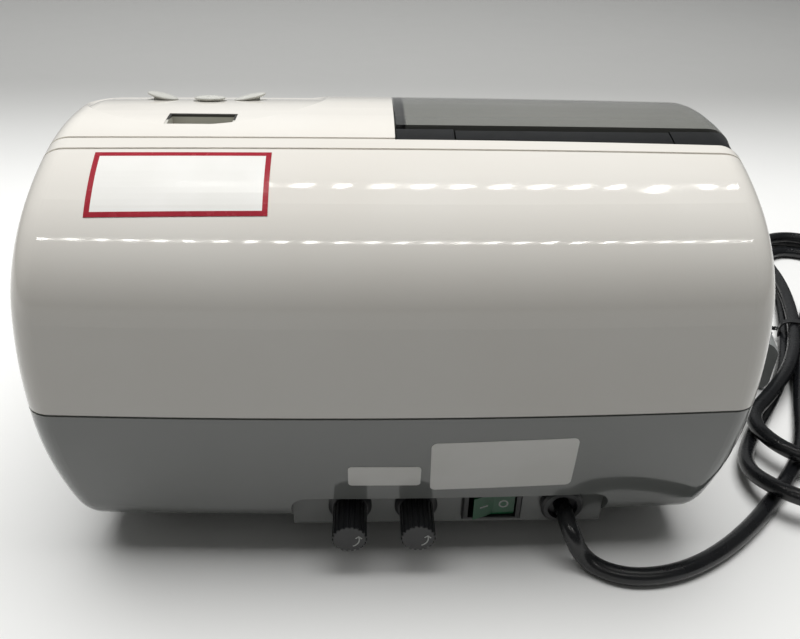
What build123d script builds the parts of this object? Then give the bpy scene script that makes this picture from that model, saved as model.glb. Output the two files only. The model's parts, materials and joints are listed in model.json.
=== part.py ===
"""Dental amalgamator: a bench mixer that shakes an amalgam capsule in a skewed-bearing fork.

Millimetres. The origin is the centre of the footprint on the table, +Z is up, the control side is
at +X, the smoked lid at -X, and the sockets face +Y. Every piece is one named STEP file.
"""
import os
from math import asin, atan, cos, degrees, pi, radians, sin, sqrt, tan

from build123d import *

os.makedirs("parts", exist_ok=True)

# ------------------------------------------------------------------ housing form
half_width = 117.7          # at the waist of the side walls
waist_z = 62.0
side_upper_radius = 330.0
side_lower_radius = 190.0
edge_radius = 9.5           # round between the side walls and the top, rear and front
top_z = 145.1
floor_z = 9.5               # underside of the base, above the table
crest_rear_y = 35.5         # the flat crest, from here ...
crest_front_y = 27.5        # ... to here
shoulder_radius = 69.25     # top of the back, down to where the surface leans shoulder_lean
shoulder_lean = 53.95       # leans are degrees of the outward normal above the horizon
belly_radius = 45.6
belly_lean = 6.7
rear_wall_radius = 219.2
brow_radius = 90.0          # front edge of the crest
brow_lean = 72.0
slope_radius = 280.0        # long front slope
slope_lean = 54.0
front_reach = 100.6         # nose, in front of the origin
front_wall_radius = 219.2
bottom_radius = 19.0
plan_radius = 2070.0        # slow bow of the front and the back, seen from above
plan_sweep = 4.0            # degrees each side of the middle
wall = 2.6
base_seam_z = 68.0          # grey base below, white housing above
seam_y = 57.2               # joint of the back shell and the top shell, on the surface
groove_pitch = 5.5          # the second groove runs this far in front of the joint
groove_width = 0.8
groove_depth = 0.5

# ------------------------------------------------------------------ lid, deck and hinge
lid_edge_x = 0.9            # lid's straight side, near the middle of the machine
lid_gap = 0.5
lid_wall = 2.2
lid_back_y = 43.4
deck_back_z = 131.4         # deck under the lid, at lid_back_y
deck_slope = 19.5           # degrees, down towards the front
deck_wall = 2.4
hinge_y = 48.6
hinge_drop = 4.0            # axis below the surface
hinge_bar_radius = 4.6
trough_radius = 5.0
hinge_pin_radius = 1.25
fit_clearance = 0.05        # radial, for every turning fit
hinge_block_width = 18.0
hinge_end_x = -104.5        # outer end of the far hinge block
hinge_pin_bite = 9.0
bar_land_wall = 2.0
bar_land_reach = 3.0

# ------------------------------------------------------------------ mixing chamber and mechanism
shaft_y = -8.0
shaft_z = 57.0
fork_x = -52.0              # centre of the skewed bearing and of the capsule
skew_angle = 6.0            # degrees between the shaft and the bearing
shaft_radius = 4.0
journal_radius = 7.5
journal_length = 15.0
bearing_radius = 13.0
bearing_width = 12.0
hub_radius = 17.5
capsule_height = 48.0       # capsule axis above the shaft
capsule_length = 29.0       # gap between the two jaw cups
prong_width = 11.0
prong_wall = 3.0
arm_wall = 7.0
cup_radius = 5.2
chamber_length = 78.0
chamber_half_y = 34.0
chamber_corner = 10.0
chamber_floor_z = 82.0
liner_wall = 1.6
liner_flange = 4.0
slot_length = 24.0
slot_width = 24.0
liner_gap = 0.2
shaft_nose = 12.0           # shaft end beyond the middle of the skewed bearing
shaft_tail = 18.0           # shaft end behind the motor
end_float = 0.35
collar_radius = 9.2
collar_wall = 2.2
weight_x = -37.0
weight_radius = 15.0
weight_hub_radius = 7.0
weight_wall = 5.0
shield_step = 0.6
shield_land = 1.2
prong_rise = 14.0           # capsule axis above the yoke's underside
jaw_lug_radius = 3.2
jaw_pin_radius = 1.25
jaw_hub_width = 5.0
side_gap = 0.3
cup_wall = 1.2
cup_depth = 1.6
jaw_tab_height = 5.0
tail_wall = 3.0
tail_length = 9.0
tail_eye_radius = 1.2
spring_radius = 3.0
spring_wire = 0.5           # radius of the wire
spring_turns = 4

# ------------------------------------------------------------------ motor and chassis
motor_radius = 29.0
motor_front_x = 4.0
motor_length = 64.0
motor_wall = 1.5
bell_wall = 3.0
bell_boss_radius = 11.0
motor_bearing_radius = 9.5
motor_bearing_width = 7.0
stator_bore = 17.0
stator_length = 34.0
rotor_gap = 0.4
fan_radius = 24.0
chassis_z = 20.0
chassis_wall = 1.5
chassis_rear_y = 42.0
chassis_front_y = -62.0
chassis_left_x = -84.0
chassis_right_x = 82.0
mount_radius = 6.5
mount_inset = 9.0
pillow_x = -24.0
pillow_width = 34.0
cradle_wall = 6.0
cradle_width = 52.0
strap_wall = 1.2
strap_width = 10.0
fan_gap = 6.0
fan_wall = 7.0
fan_blades = 9
fan_blade_turn = 35.0
cradle_drop = 18.0          # cradle's top, below the shaft

# ------------------------------------------------------------------ controls
panel_x = 66.5
panel_y = 24.0
panel_lean = 7.0            # degrees, the control board leans forward
dish_half_x = 37.5
dish_half_y = 43.0
dish_y = 0.5
dish_depth = 1.1
display_x = 63.2
display_y = 36.8
display_width = 22.0
display_height = 9.6
button_y = 13.5
button_arch = 3.6
button_half_length = 5.4
button_half_height = 3.2
button_proud = 1.9
button_travel = 0.8
button_gap = 0.4
button_x = (81.5, 64.5, 51.0)
button_fan = 14.0           # degrees, the outer ovals lean in
dish_taper = 60.0
control_boss_x = 24.0
control_boss_front = -27.0
control_boss_rear = 19.0
control_boss_radius = 2.8
board_wall = 1.6
board_drop = 11.0           # control board below the panel

# ------------------------------------------------------------------ socket panel in the back
panel_plate_y = 84.0
pocket_left_x = 36.7
pocket_right_x = -75.6
pocket_top_z = 28.6
pocket_corner = 6.0
socket_z = 18.8
fuse_x = (16.2, -7.4)
fuse_flange_radius = 7.7
fuse_flange_wall = 2.4
fuse_body_radius = 6.0
fuse_body_length = 32.0
fuse_bore = 4.8
fuse_cap_radius = 6.0
fuse_cap_reach = 16.5       # cap's end, out from the panel
fuse_skirt_radius = 4.4
fuse_draw = 34.0
switch_x = -34.9
switch_width = 21.6
switch_height = 13.8
switch_bezel_wall = 1.9
switch_body_width = 19.2
switch_body_height = 12.4
switch_body_depth = 13.0
rocker_width = 15.6
rocker_height = 10.2
rocker_tilt = 11.0          # degrees each side of the middle
relief_x = -60.2
relief_radius = 7.7
relief_wall = 3.2
cord_diameter = 6.4

# ------------------------------------------------------------------ feet, screws and clearances
foot_x = 84.0
foot_rear_y = 58.0
foot_front_y = -64.0
foot_radius = 9.0
foot_sole_radius = 7.5
foot_seat_z = 4.5           # the screw head's seat inside a foot
screw_radius = 1.5
screw_head_radius = 2.9
screw_head_wall = 2.0
tower_x = 97.0
tower_rear_y = 52.0
tower_front_y = -62.0
tower_radius = 6.0
tower_bore = 4.2
tower_top_z = 60.0
tower_web = 4.0
shell_boss_radius = 4.5
shell_boss_height = 14.0


power_board_x = 80.0        # half pitch of its pillars
power_board_front_y = 50.0
power_board_rear_y = 70.0
power_board_z = 31.0
pillar_radius = 3.2
board_screw_bite = 4.5
housing_screw_bite = 15.0
foot_boss_radius = 4.0
foot_boss_height = 7.5
foot_screw_bite = 6.5
mount_screw_bite = 2.0
vent_length = 26.0
vent_width = 3.0
vent_pitch = 8.0
vent_count = 7
relief_neck_radius = 5.6
relief_lip_radius = 6.4
relief_lip_wall = 2.2
relief_recess_radius = 5.4
relief_recess_depth = 2.0

# ------------------------------------------------------------------ parts of the controls and sockets
module_width = 30.0
module_height = 14.0
module_wall = 4.2
window_width = 26.0
window_height = 13.0
window_wall = 0.9
flange_overlap = 1.2        # button flange beyond the oval
flange_wall = 1.2
flange_drop = 3.5           # top of the flange, below the panel frame
stem_radius = 1.6
tact_size = 6.0
tact_height = 3.5
plunger_radius = 1.7
plunger_rise = 1.0
control_board_margin = 3.0
nut_radius = 7.6
nut_wall = 3.0
fuse_contact_radius = 2.4
fuse_contact_reach = 8.0
fuse_end_wall = 2.0
fuse_radius = 2.6
fuse_length = 20.0
fuse_end_length = 5.0
fuse_inner_y = 61.0
fuse_cap_gap = 0.3
fuse_skirt_length = 10.0
fuse_grip = 4.0
cap_flutes = 20
flute_radius = 0.5
cap_edge = 0.8
switch_cavity_width = 17.4
switch_cavity_height = 11.0
switch_floor = 1.5
rocker_pivot_y = 83.0
rocker_crest = 3.2          # ends of the rocker's face, above the pivot
rocker_valley = 1.9
rocker_root = 5.0
rocker_tip_inset = 1.5
rocker_pin_radius = 0.9
tab_width = 0.8
tab_height = 4.8
tab_length = 9.0
tab_pitch = 5.0
magnet_length = 8.0
magnet_wall = 3.0
magnet_height = 4.5
magnet_forward = 30.0       # down the slope from the lid's back edge

# ------------------------------------------------------------------ power board
power_board_length = 172.0
power_board_middle_y = 60.0
power_board_depth = 30.0
core_length = 40.0
core_depth = 16.0
core_height = 32.0
core_leg = 8.0
coil_depth = 26.0
transformer_x = 14.0
capacitor_radius = 8.0
capacitor_height = 25.0
capacitor_spots = (-68.0, -48.0)

# ------------------------------------------------------------------ mains lead lying on the table
cord_route = (
    (-60.2, 79.5, 18.8),
    (-60.2, 95.5, 18.8),
    (-67.5, 98.5, 3.4),
    (-80.5, 106.0, 3.4),
    (-99.5, 104.5, 3.4),
    (-119.0, 95.5, 3.4),
    (-139.0, 80.5, 3.4),
    (-160.0, 60.0, 3.4),
)
lead_route = (
    (-185.0, -41.4, 13.0),
    (-197.5, -63.0, 12.0),
    (-209.5, -85.0, 3.8),
    (-226.0, -104.0, 3.4),
    (-240.0, -118.0, 3.4),
)
bend_share = 0.45           # of the shorter run beside each bend
hank_start = (-163.0, 66.0)
hank_lean = 244.2           # degrees, direction of the bundle seen from above
hank_length = 250.0
hank_half_widths = (
    (0.0, 12.0),
    (22.0, 19.5),
    (75.0, 11.5),
    (122.0, 10.5),
    (180.0, 17.0),
    (232.0, 26.0),
    (250.0, 17.0),
)
hank_height = 15.0
hank_edge = 4.0
tie_place = 122.0
tie_width = 3.5
tie_wall = 1.0
plug_face = (-168.0, -12.0)
plug_lean = 60.0            # degrees, direction of the pins seen from above
plug_width = 31.0
plug_height = 26.0
plug_length = 34.0
plug_corner = 6.0
plug_tail_width = 17.0
plug_face_wall = 2.5
pin_width = 6.3
pin_wall = 1.6
pin_length = 18.0
pin_radius = 9.2
pin_turn = 30.0
boot_radius = 6.0
boot_tip_radius = 4.2
boot_length = 14.0

# ================================================================== shared form of the housing
def bends_reach(crest, bends):
    """Where a chain of tangent bends ends: how far out, how high, and its lean."""
    reach, height, lean = crest, top_z, 90.0
    for radius, next_lean in bends:
        reach += radius * (cos(radians(next_lean)) - cos(radians(lean)))
        height += radius * (sin(radians(next_lean)) - sin(radians(lean)))
        lean = next_lean
    return reach, height, lean


def down_to_floor(crest, bends, wall_radius):
    """Add the wall bend and the bottom bend that bring the chain flat onto the floor height."""
    reach, height, lean = bends_reach(crest, bends)
    drop = floor_z - height + wall_radius * sin(radians(lean)) + bottom_radius
    wall_lean = degrees(asin(drop / (wall_radius - bottom_radius)))
    return bends + [(wall_radius, wall_lean), (bottom_radius, -90.0)]


rear_bends = down_to_floor(
    crest_rear_y,
    [(shoulder_radius, shoulder_lean), (belly_radius, belly_lean)],
    rear_wall_radius,
)
slope_reach, slope_height, _ = bends_reach(-crest_front_y, [(brow_radius, brow_lean), (slope_radius, slope_lean)])
nose_radius = (front_reach - slope_reach) / (1 - cos(radians(slope_lean)))
front_bends = down_to_floor(
    -crest_front_y,
    [(brow_radius, brow_lean), (slope_radius, slope_lean), (nose_radius, 0.0)],
    front_wall_radius,
)
crest_middle_y = (crest_rear_y + crest_front_y) / 2


def half_loaf(side, crest, bends, inset):
    """The rear (side 1) or front (side -1) half, its section turned about a far upright axis."""
    outward = Vector(0, side, 0).rotate(Axis.Z, plan_sweep)
    section = Plane(
        origin=(0, -side * plan_radius, 0),
        x_dir=outward,
        z_dir=outward.cross(Vector(0, 0, 1)),
    )
    core = plan_radius - half_width / 2
    with BuildPart() as half:
        with BuildSketch(section):
            with BuildLine():
                crest_line = Line((core, top_z - inset), (plan_radius + crest, top_z - inset))
                bend = crest_line
                lean = 90.0
                for radius, next_lean in bends:
                    bend = JernArc(bend @ 1, bend % 1, radius - inset, next_lean - lean)
                    lean = next_lean
                Polyline(bend @ 1, (core, floor_z + inset), crest_line @ 0)
            make_face()
        far_axis = Axis((0, -side * plan_radius, 0), (0, 0, -1))
        revolve(axis=far_axis, revolution_arc=2 * plan_sweep)
        keep = Keep.BOTTOM if side > 0 else Keep.TOP
        split(bisect_by=Plane.XZ.offset(-crest_middle_y), keep=keep)
    return half.part


def envelope(inset):
    """Solid of the whole housing's form, with its surface moved inwards by inset."""
    rear_half = half_loaf(1, crest_rear_y, rear_bends, inset)
    front_half = half_loaf(-1, -crest_front_y, front_bends, inset)
    with BuildPart() as form:
        add(rear_half)
        add(front_half)
        with BuildSketch(Plane.XZ):
            with BuildLine():
                waist = (half_width - inset, waist_z)
                upper_turn = degrees(asin((top_z - waist_z + wall) / side_upper_radius))
                lower_turn = degrees(asin((waist_z - floor_z + wall) / side_lower_radius))
                upper = JernArc(waist, (0, 1), side_upper_radius - inset, upper_turn + 1)
                lower = JernArc(waist, (0, -1), side_lower_radius - inset, -lower_turn - 1)
                Line(upper @ 1, (0, (upper @ 1).Y))
                Line(lower @ 1, (0, (lower @ 1).Y))
                mirror(about=Plane.YZ)
            make_face()
        extrude(amount=2 * front_reach, both=True, mode=Mode.INTERSECT)
        side_faces = form.faces().filter_by(lambda face: abs(face.normal_at(face.center()).X) > 0.8)
        rims = side_faces.edges().filter_by(
            lambda edge: edge.geom_type != GeomType.LINE or abs(edge.center().Z - waist_z) > 1
        )
        fillet(rims, edge_radius - inset)
    return form.part


def surface_z(y, inset=0.0):
    """Height of the top surface in the middle of the machine, from the crest back or forward."""
    if y > crest_rear_y:
        radius = shoulder_radius - inset
        return top_z - shoulder_radius + sqrt(radius**2 - (y - crest_rear_y) ** 2)
    if y > crest_front_y:
        return top_z - inset
    brow_end = brow_radius * cos(radians(brow_lean))
    if crest_front_y - y < brow_end:
        radius = brow_radius - inset
        return top_z - brow_radius + sqrt(radius**2 - (crest_front_y - y) ** 2)
    centre_y = crest_front_y - brow_end + slope_radius * cos(radians(brow_lean))
    centre_z = top_z - brow_radius + (brow_radius - slope_radius) * sin(radians(brow_lean))
    return centre_z + sqrt((slope_radius - inset) ** 2 - (centre_y - y) ** 2)


outer_form = envelope(0)
inner_form = envelope(wall)
groove_form = envelope(groove_depth)

# the seam plane holds the X axis and cuts the surface squarely at seam_y
seam_lean = degrees(asin((seam_y - crest_rear_y) / shoulder_radius))
seam_plane = Plane(
    origin=(0, seam_y, surface_z(seam_y)),
    x_dir=(1, 0, 0),
    z_dir=(0, cos(radians(seam_lean)), -sin(radians(seam_lean))),
)


def band(plane, width, length=3 * half_width):
    """A thin slab on a plane, which cuts a groove where it leaves the groove form."""
    with BuildPart() as slab:
        with BuildSketch(plane.offset(-width / 2)):
            Rectangle(length, length)
        extrude(amount=width)
    return slab.part


with BuildPart() as grooves:
    add(band(Plane.XY.offset(base_seam_z), groove_width))
    add(band(seam_plane, groove_width))
    add(band(seam_plane.offset(-groove_pitch), groove_width))
    with BuildSketch(Plane.XY.offset(base_seam_z - groove_width)):
        Rectangle(3 * half_width, 3 * half_width)
    extrude(amount=top_z, mode=Mode.INTERSECT)
    add(groove_form, mode=Mode.SUBTRACT)


def finish(part, name):
    """Label a finished piece and write its STEP file."""
    part.label = name
    export_step(part, f"parts/{name}.step")


# ================================================================== base tray
pocket_width = pocket_left_x - pocket_right_x
pocket_middle_x = (pocket_left_x + pocket_right_x) / 2
plate_inner_y = panel_plate_y - wall
floor_top_z = floor_z + wall
tower_spots = [(x, y) for x in (-tower_x, tower_x) for y in (tower_front_y, tower_rear_y)]
foot_spots = [(x, y) for x in (-foot_x, foot_x) for y in (foot_front_y, foot_rear_y)]
mount_spots = [
    (x, y)
    for x in (chassis_left_x + mount_inset, chassis_right_x - mount_inset)
    for y in (chassis_front_y + mount_inset, chassis_rear_y - mount_inset)
]
board_spots = [(x, y) for x in (-power_board_x, power_board_x) for y in (power_board_front_y, power_board_rear_y)]


def pocket_block(grow, front_y, back_y):
    """The socket pocket's outline with round top corners, grown by grow, between two depths."""
    with BuildPart() as block:
        with BuildSketch(Plane.XZ.offset(-back_y)) as outline:
            with Locations((pocket_middle_x, (pocket_top_z + grow) / 2)):
                Rectangle(pocket_width + 2 * grow, pocket_top_z + grow)
            fillet(outline.vertices().group_by(Axis.Y)[-1], pocket_corner + grow)
        extrude(amount=back_y - front_y)
    return block.part


with BuildPart() as tray_cavity:
    add(inner_form)
    with BuildSketch(Plane.XY.offset(floor_top_z)):
        with Locations((pocket_middle_x, plate_inner_y - bottom_radius / 2)):
            Rectangle(pocket_width - 2 * wall, bottom_radius)
    extrude(amount=bottom_radius)
    add(pocket_block(wall, plate_inner_y, front_reach), mode=Mode.SUBTRACT)

with BuildPart() as base_tray:
    add(outer_form)
    with BuildSketch(Plane.XY.offset(floor_z)):
        with Locations((pocket_middle_x, panel_plate_y - bottom_radius / 2)):
            Rectangle(pocket_width, bottom_radius)
    extrude(amount=bottom_radius)
    add(pocket_block(0, panel_plate_y, front_reach), mode=Mode.SUBTRACT)
    add(tray_cavity.part, mode=Mode.SUBTRACT)
    split(bisect_by=Plane.XY.offset(base_seam_z), keep=Keep.BOTTOM)
    # screw towers, bored from below, foot bosses and board pillars
    with BuildSketch(Plane.XY.offset(floor_z)):
        with Locations(*tower_spots):
            Circle(tower_radius)
    extrude(amount=tower_top_z - floor_z)
    with BuildSketch(Plane.XY.offset(floor_z)):
        with Locations(*tower_spots):
            Circle(tower_bore)
    extrude(amount=tower_top_z - tower_web - floor_z, mode=Mode.SUBTRACT)
    with BuildSketch(Plane.XY.offset(floor_z)):
        with Locations(*foot_spots):
            Circle(foot_boss_radius)
    extrude(amount=foot_boss_height)
    with BuildSketch(Plane.XY.offset(floor_z)):
        with Locations(*board_spots):
            Circle(pillar_radius)
    extrude(amount=power_board_z - floor_z)
    with BuildSketch(Plane.XY.offset(floor_z)):
        with Locations(*tower_spots):
            Circle(screw_radius)
    extrude(amount=base_seam_z, mode=Mode.SUBTRACT)
    with BuildSketch(Plane.XY.offset(floor_z)):
        with Locations(*foot_spots):
            Circle(screw_radius)
    extrude(amount=foot_screw_bite, mode=Mode.SUBTRACT)
    with BuildSketch(Plane.XY.offset(floor_top_z - mount_screw_bite)):
        with Locations(*mount_spots):
            Circle(screw_radius)
    extrude(amount=mount_screw_bite, mode=Mode.SUBTRACT)
    with BuildSketch(Plane.XY.offset(power_board_z - board_screw_bite)):
        with Locations(*board_spots):
            Circle(screw_radius)
    extrude(amount=board_screw_bite, mode=Mode.SUBTRACT)
    # air slots under the motor
    with BuildSketch(Plane.XY.offset(floor_z)):
        with Locations((motor_front_x + motor_length / 2, shaft_y)):
            with GridLocations(vent_pitch, 1, vent_count, 1):
                SlotOverall(vent_length, vent_width, rotation=90)
    extrude(amount=wall, mode=Mode.SUBTRACT)
    # holes in the socket plate
    with BuildSketch(Plane.XZ.offset(-panel_plate_y)):
        with Locations(*[(x, socket_z) for x in fuse_x]):
            Circle(fuse_body_radius)
        with Locations((switch_x, socket_z)):
            Rectangle(switch_body_width, switch_body_height)
        with Locations((relief_x, socket_z)):
            Circle(relief_neck_radius)
    extrude(amount=wall, mode=Mode.SUBTRACT)
    add(grooves.part, mode=Mode.SUBTRACT)

finish(base_tray.part, "base_tray")


# ================================================================== white housing
shell_boss_z = tower_top_z + shell_boss_height
upper_limit = 2 * top_z
deck_tilt = radians(deck_slope)
deck_x = lid_edge_x + lid_gap
hinge_z = surface_z(hinge_y) - hinge_drop


def deck_height(y):
    """Height of the sloping deck under the lid."""
    return deck_back_z + (y - lid_back_y) * tan(deck_tilt)


def shell_bosses(y):
    """Two screw bosses on the towers at depth y, each with a rib to the side wall."""
    with BuildPart() as bosses:
        with BuildSketch(Plane.XY.offset(base_seam_z + groove_width)):
            with Locations((-(tower_x + half_width) / 2, y), ((tower_x + half_width) / 2, y)):
                Rectangle(half_width - tower_x, wall)
        extrude(amount=shell_boss_z - base_seam_z - groove_width)
        add(groove_form, mode=Mode.INTERSECT)
        with BuildSketch(Plane.XY.offset(tower_top_z)):
            with Locations((-tower_x, y), (tower_x, y)):
                Circle(shell_boss_radius)
        extrude(amount=shell_boss_height)
        with BuildSketch(Plane.XY.offset(tower_top_z)):
            with Locations((-tower_x, y), (tower_x, y)):
                Circle(screw_radius)
        extrude(amount=shell_boss_height - wall, mode=Mode.SUBTRACT)
    return bosses.part


with BuildPart() as upper_skin:
    add(outer_form)
    add(inner_form, mode=Mode.SUBTRACT)
    split(bisect_by=Plane.XY.offset(base_seam_z), keep=Keep.TOP)
    add(grooves.part, mode=Mode.SUBTRACT)

with BuildPart() as rear_shell:
    add(upper_skin.part)
    split(bisect_by=seam_plane, keep=Keep.TOP)
    add(shell_bosses(tower_rear_y))

finish(rear_shell.part, "rear_shell")


def lid_side_outline(gap, back_y):
    """In a side-view sketch: the space over the deck, above it by gap and in front of back_y."""
    Polygon(
        (-front_reach, deck_height(-front_reach) + gap),
        (back_y, deck_height(back_y) + gap),
        (back_y, upper_limit),
        (-front_reach, upper_limit),
        align=None,
    )


def along_x(sketch, start_x, end_x):
    """Extrude a side-view sketch from one X to another."""
    with BuildPart() as bar:
        extrude(sketch.moved(Location((start_x, 0, 0))), amount=end_x - start_x, dir=(1, 0, 0))
    return bar.part


with BuildSketch(Plane.YZ) as recess_profile:
    lid_side_outline(0, hinge_y - trough_radius)
    Polygon(
        (hinge_y - trough_radius, hinge_z),
        (hinge_y, hinge_z),
        (hinge_y, upper_limit),
        (hinge_y - trough_radius, upper_limit),
        align=None,
    )
    with Locations((hinge_y, hinge_z)):
        Circle(trough_radius)
with BuildSketch(Plane.YZ) as deck_profile:
    add(recess_profile.sketch_local)
    offset(amount=deck_wall)

recess = along_x(recess_profile.sketch, -1.2 * half_width, deck_x)
well_front_y = shaft_y - chamber_half_y
well_back_y = shaft_y + chamber_half_y


def well_prism(grow, low_z, high_z):
    """Upright prism of the mixing chamber's rounded rectangle."""
    with BuildPart() as prism:
        with BuildSketch(Plane.XY.offset(low_z)):
            with Locations((fork_x, shaft_y)):
                RectangleRounded(
                    chamber_length + 2 * grow, 2 * chamber_half_y + 2 * grow, chamber_corner + grow
                )
        extrude(amount=high_z - low_z)
    return prism.part


panel_frame = Plane(
    origin=(panel_x, panel_y, surface_z(panel_y)),
    x_dir=(1, 0, 0),
    z_dir=(0, -sin(radians(panel_lean)), cos(radians(panel_lean))),
)


def on_panel(x, y):
    """Local place on the panel frame above a point of the plan."""
    return (x - panel_x, (y - panel_y) / cos(radians(panel_lean)))


button_places = [
    (*on_panel(button_x[0], button_y - button_arch), -button_fan),
    (*on_panel(button_x[1], button_y), 0),
    (*on_panel(button_x[2], button_y - button_arch), button_fan),
]
control_boss_spots = [
    (x, y) for x in (-control_boss_x, control_boss_x) for y in (control_boss_front, control_boss_rear)
]


def button_ovals(grow, places):
    """Ovals of the buttons, grown by grow, inside a sketch on the panel frame."""
    for x, y, turn in places:
        with Locations((x, y)):
            Ellipse(button_half_length + grow, button_half_height + grow, rotation=turn)


with BuildPart() as dish:
    with BuildSketch(panel_frame.offset(-dish_depth - wall)):
        with Locations(on_panel(panel_x, dish_y)):
            Ellipse(dish_half_x, dish_half_y)
    extrude(amount=2 * wall + dish_depth, taper=-dish_taper)
    add(envelope(dish_depth), mode=Mode.SUBTRACT)

with BuildPart() as top_shell:
    add(outer_form)
    add(inner_form, mode=Mode.SUBTRACT)
    # board bosses hang from the panel
    with BuildSketch(panel_frame.offset(-board_drop)):
        with Locations(*control_boss_spots):
            Circle(control_boss_radius)
            Circle(screw_radius, mode=Mode.SUBTRACT)
    extrude(amount=board_drop)
    # deck and hinge trough under the lid
    add(along_x(deck_profile.sketch, -1.2 * half_width, deck_x + deck_wall))
    add(recess, mode=Mode.SUBTRACT)
    add(groove_form, mode=Mode.INTERSECT)
    add(upper_skin.part)
    add(recess, mode=Mode.SUBTRACT)
    split(bisect_by=Plane.XY.offset(base_seam_z), keep=Keep.TOP)
    split(bisect_by=seam_plane, keep=Keep.BOTTOM)
    add(shell_bosses(tower_front_y))
    add(well_prism(0, chamber_floor_z, upper_limit), mode=Mode.SUBTRACT)
    add(dish.part, mode=Mode.SUBTRACT)
    with BuildSketch(Plane.XY.offset(top_z)):
        with Locations((display_x, display_y)):
            Rectangle(display_width, display_height)
    extrude(amount=-2 * wall, mode=Mode.SUBTRACT)
    with BuildSketch(panel_frame.offset(-2 * wall)):
        button_ovals(button_gap, button_places)
    extrude(amount=3 * wall, mode=Mode.SUBTRACT)

finish(top_shell.part, "top_shell")


# ================================================================== lid and its hinge
lid_inner_form = envelope(lid_wall)
bar_start_x = hinge_end_x + hinge_block_width
bar_end_x = lid_edge_x - hinge_block_width
bar_front_z = surface_z(lid_back_y, lid_wall)

with BuildSketch(Plane.YZ) as lid_profile:
    lid_side_outline(lid_gap, lid_back_y)
with BuildSketch(Plane.YZ) as lid_hollow_profile:
    lid_side_outline(-wall, hinge_y)

with BuildPart() as lid_hollow:
    add(along_x(lid_hollow_profile.sketch, -1.2 * half_width, lid_edge_x - lid_wall))
    add(lid_inner_form, mode=Mode.INTERSECT)

with BuildPart() as lid:
    add(outer_form)
    add(along_x(lid_profile.sketch, -1.2 * half_width, lid_edge_x), mode=Mode.INTERSECT)
    add(lid_hollow.part, mode=Mode.SUBTRACT)

finish(lid.part, "lid")


def hinge_round(radius, start_x, end_x):
    """Cylinder on the hinge axis."""
    with BuildPart() as round_bar:
        with BuildSketch(Plane.YZ.offset(start_x)):
            with Locations((hinge_y, hinge_z)):
                Circle(radius)
        extrude(amount=end_x - start_x)
    return round_bar.part


with BuildPart() as bar_land:
    # glue land of the bar under the lid's rear edge
    with BuildSketch(Plane.YZ.offset(bar_start_x + lid_gap)):
        with Locations((lid_back_y, bar_front_z - bar_land_wall / 2)):
            Rectangle(2 * bar_land_reach, bar_land_wall)
    extrude(amount=bar_end_x - bar_start_x - 2 * lid_gap)
    add(lid_inner_form, mode=Mode.INTERSECT)

with BuildPart() as hinge_bar:
    add(hinge_round(hinge_bar_radius, bar_start_x + lid_gap, bar_end_x - lid_gap))
    add(outer_form, mode=Mode.INTERSECT)
    add(lid.part, mode=Mode.SUBTRACT)
    add(bar_land.part)
    add(hinge_round(hinge_pin_radius, bar_start_x - hinge_pin_bite, bar_end_x + hinge_pin_bite), mode=Mode.SUBTRACT)

finish(hinge_bar.part, "hinge_bar")

with BuildPart() as hinge_blocks:
    add(hinge_round(trough_radius, hinge_end_x, bar_start_x))
    add(hinge_round(trough_radius, bar_end_x, lid_edge_x))
    add(outer_form, mode=Mode.INTERSECT)
    add(
        hinge_round(hinge_pin_radius + fit_clearance, bar_start_x - hinge_pin_bite, bar_end_x + hinge_pin_bite),
        mode=Mode.SUBTRACT,
    )

finish(hinge_blocks.part, "hinge_blocks")

hinge_pin = hinge_round(hinge_pin_radius, bar_start_x - hinge_pin_bite, bar_end_x + hinge_pin_bite)
finish(hinge_pin, "hinge_pin")


# ================================================================== mixing chamber
deck_plane = Plane(
    origin=(0, lid_back_y, deck_back_z),
    x_dir=(1, 0, 0),
    z_dir=(0, -sin(deck_tilt), cos(deck_tilt)),
)

with BuildPart() as liner_rim:
    add(well_prism(liner_flange, chamber_floor_z, upper_limit))
    split(bisect_by=deck_plane, keep=Keep.TOP)
    split(bisect_by=deck_plane.offset(liner_wall), keep=Keep.BOTTOM)

with BuildPart() as chamber_liner:
    add(well_prism(-liner_gap, chamber_floor_z, upper_limit))
    split(bisect_by=deck_plane.offset(liner_wall), keep=Keep.BOTTOM)
    add(liner_rim.part)
    add(well_prism(-liner_gap - liner_wall, chamber_floor_z + liner_wall, upper_limit), mode=Mode.SUBTRACT)
    with BuildSketch(Plane.XY.offset(chamber_floor_z)):
        with Locations((fork_x, shaft_y)):
            RectangleRounded(slot_length, slot_width, arm_wall / 2)
    extrude(amount=liner_wall, mode=Mode.SUBTRACT)

finish(chamber_liner.part, "chamber_liner")


# ================================================================== shaft, skewed journal and fork
motor_back_x = motor_front_x + motor_length
skew = radians(skew_angle)
fork_axis = Vector(cos(skew), 0, sin(skew))
fork_face = Plane(origin=(fork_x, shaft_y, shaft_z), x_dir=fork_axis, z_dir=(0, -1, 0))
fork_side = Plane(origin=(fork_x, shaft_y, shaft_z), x_dir=(0, 1, 0), z_dir=fork_axis)


def shaft_ring(outer_radius, inner_radius, start_x, end_x):
    """Ring, or a disc where inner_radius is 0, about the motor shaft."""
    with BuildPart() as ring:
        with BuildSketch(Plane.YZ.offset(start_x)):
            with Locations((shaft_y, shaft_z)):
                Circle(outer_radius)
                if inner_radius:
                    Circle(inner_radius, mode=Mode.SUBTRACT)
        extrude(amount=end_x - start_x)
    return ring.part


motor_shaft = shaft_ring(shaft_radius, 0, fork_x - shaft_nose, motor_back_x + shaft_tail)
finish(motor_shaft, "motor_shaft")

with BuildPart() as skew_journal:
    with BuildSketch(fork_side.offset(-journal_length / 2)):
        Circle(journal_radius)
    extrude(amount=journal_length)
    with BuildSketch(fork_side.offset(bearing_width / 2 + end_float)):
        Circle(collar_radius)
    extrude(amount=collar_wall)
    add(shaft_ring(shaft_radius, 0, fork_x - shaft_nose, motor_front_x), mode=Mode.SUBTRACT)

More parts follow.
